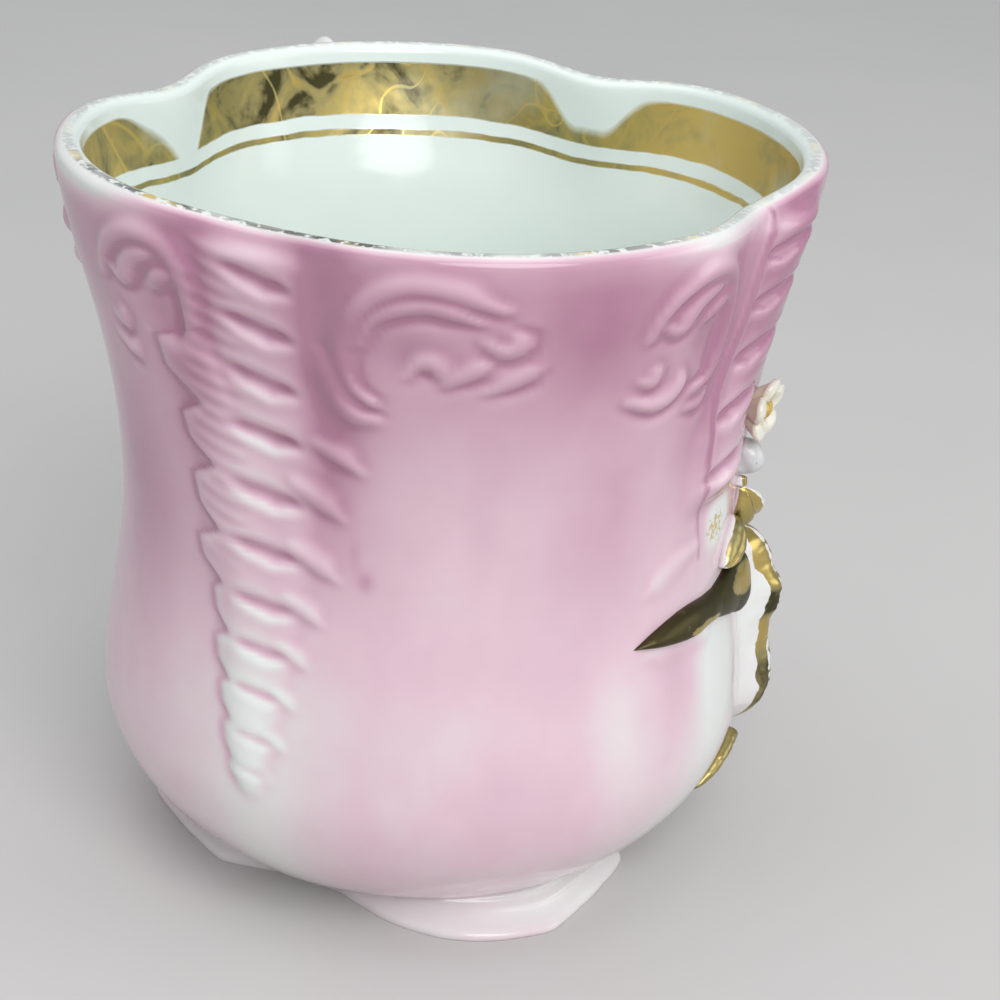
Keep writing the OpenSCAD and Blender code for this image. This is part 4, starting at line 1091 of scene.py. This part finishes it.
class CUP_OT_buds(bpy.types.Operator):
    """Model the closed buds, and the stalks under buds and blossoms"""

    bl_idname = "cup.make_buds"
    bl_label = "Buds and stalks"

    def execute(self, context):
        wall, s = cup_wall(context)
        white, gilt = context.scene.cup_colours.white, FINISHES["gilding"]
        grey = white_finish("bud_glaze", mixed(white, (0.5, 0.5, 0.52), 0.6), (0.4, 0.4, 0.4))
        for name, ((u0, v0), lean) in BUDS.items():
            bm, turn, t = ball(48, 40)
            c, d = math.cos(math.radians(lean)), math.sin(math.radians(lean))
            along = -np.cos(np.pi * t) * s["bud_length"] / 2
            full = np.sin(np.pi * t) ** 0.8 * mix(1.12, 0.8, t)
            fold = 1 - 0.12 * np.abs(np.sin(1.5 * turn + 3.2 * t)) ** 6
            wide = s["bud_width"] / 2 * full * np.cos(turn) * fold
            up = np.sin(turn)
            high = np.where(up > TINY, s["bud_height"] * full * np.abs(up) ** 0.8 * fold, -0.3 * full)
            move(bm, wall.over(u0 + along * c - wide * d, v0 + along * d + wide * c, high))
            make_piece("white_" + name, bm, name, grey, {"deep": np.clip((1 - fold) * 6, 0, 1)})
        for name, (root, tip) in STALKS.items():
            path = (root, mixed(root, tip, 0.33), mixed(root, tip, 0.66), tip)
            strand(wall, name, gilt, (s["stalk_width"], s["stalk_width"]), path, **STALK)
        return {"FINISHED"}


class CUP_OT_stage(bpy.types.Operator):
    """Set the floor, the lights and the camera"""

    bl_idname = "cup.set_stage"
    bl_label = "Stage"

    def execute(self, context):
        scene, st, colours = context.scene, context.scene.cup_stage, context.scene.cup_colours
        bm = bmesh.new()
        bmesh.ops.create_grid(bm, x_segments=8, y_segments=8, size=3.0)
        mesh = bpy.data.meshes.new("floor")
        bm.to_mesh(mesh)
        bm.free()
        f = Finish("floor_paper")
        grey = mixed(colours.floor, (0.5, 0.5, 0.5), 0.2)
        f.set(base_color=f.ramp(f.noise(9, 3), (0.3, grey), (0.7, colours.floor)),
              roughness=f.ramp(f.noise(60, 2), (0.3, 0.5), (0.7, 0.65)))
        mesh.materials.append(f.material)
        floor = bpy.data.objects.new("floor", mesh)
        scene.collection.objects.link(floor)
        camera = bpy.data.objects.new("camera", bpy.data.cameras.new("camera"))
        camera.data.lens, camera.data.sensor_width = st.lens, 36.0
        camera.data.clip_start = 0.01
        camera.matrix_world = (
            Matrix.Translation(st.camera_place) @ Matrix.Rotation(-st.camera_turn, 4, "Z")
            @ Matrix.Rotation(math.pi / 2 - st.camera_tilt, 4, "X") @ Matrix.Rotation(st.camera_roll, 4, "Z"))
        scene.collection.objects.link(camera)
        scene.camera = camera
        for name, place, size, watts in (
                ("key_light", (-0.66, -0.02, 0.56), 0.6, st.key_power),
                ("top_light", (0.05, 0.12, 0.8), 0.8, st.top_power),
                ("fill_light", (-0.3, -0.7, 0.25), 0.5, st.fill_power)):
            light = bpy.data.lights.new(name, "AREA")
            light.shape, light.energy, light.size = "DISK", watts, size
            lamp = bpy.data.objects.new(name, light)
            lamp.location = place
            lamp.rotation_euler = (Vector((0, 0, 0.05)) - Vector(place)).to_track_quat("-Z", "Y").to_euler()
            scene.collection.objects.link(lamp)
        world = bpy.data.worlds.new("even_light")
        world.use_nodes = True
        back = world.node_tree.nodes["Background"]
        back.inputs["Color"].default_value = (0.9, 0.93, 0.95, 1)
        back.inputs["Strength"].default_value = st.sky
        scene.world = world
        scene.view_settings.view_transform = "Standard"
        return {"FINISHED"}


STEPS = (
    CUP_OT_body, CUP_OT_foot, CUP_OT_handle, CUP_OT_twigs, CUP_OT_leaves, CUP_OT_blossoms, CUP_OT_buds, CUP_OT_stage,
)


class CUP_PT_panel(bpy.types.Panel):
    """Steps, sizes and colours of the cup"""

    bl_label = "Porcelain cup"
    bl_space_type = "VIEW_3D"
    bl_region_type = "UI"
    bl_category = "Cup"

    def draw(self, context):
        column = self.layout.column()
        for step in STEPS:
            column.operator(step.bl_idname)
        for group in (context.scene.cup_sizes, context.scene.cup_colours, context.scene.cup_stage):
            for key in type(group).__annotations__:
                column.prop(group, key)


CLASSES = (CupSizes, CupColours, CupStage) + STEPS + (CUP_PT_panel,)


def register():
    for cls in CLASSES:
        bpy.utils.register_class(cls)
    bpy.types.Scene.cup_sizes = PointerProperty(type=CupSizes)
    bpy.types.Scene.cup_colours = PointerProperty(type=CupColours)
    bpy.types.Scene.cup_stage = PointerProperty(type=CupStage)


def unregister():
    del bpy.types.Scene.cup_stage, bpy.types.Scene.cup_colours, bpy.types.Scene.cup_sizes
    for cls in reversed(CLASSES):
        bpy.utils.unregister_class(cls)


def main():
    register()
    bpy.ops.cup.make_body()
    bpy.ops.cup.make_foot()
    bpy.ops.cup.make_handle()
    bpy.ops.cup.make_twigs()
    bpy.ops.cup.make_leaves()
    bpy.ops.cup.make_blossoms()
    bpy.ops.cup.make_buds()
    bpy.ops.cup.set_stage()


if __name__ == "__main__":
    main()
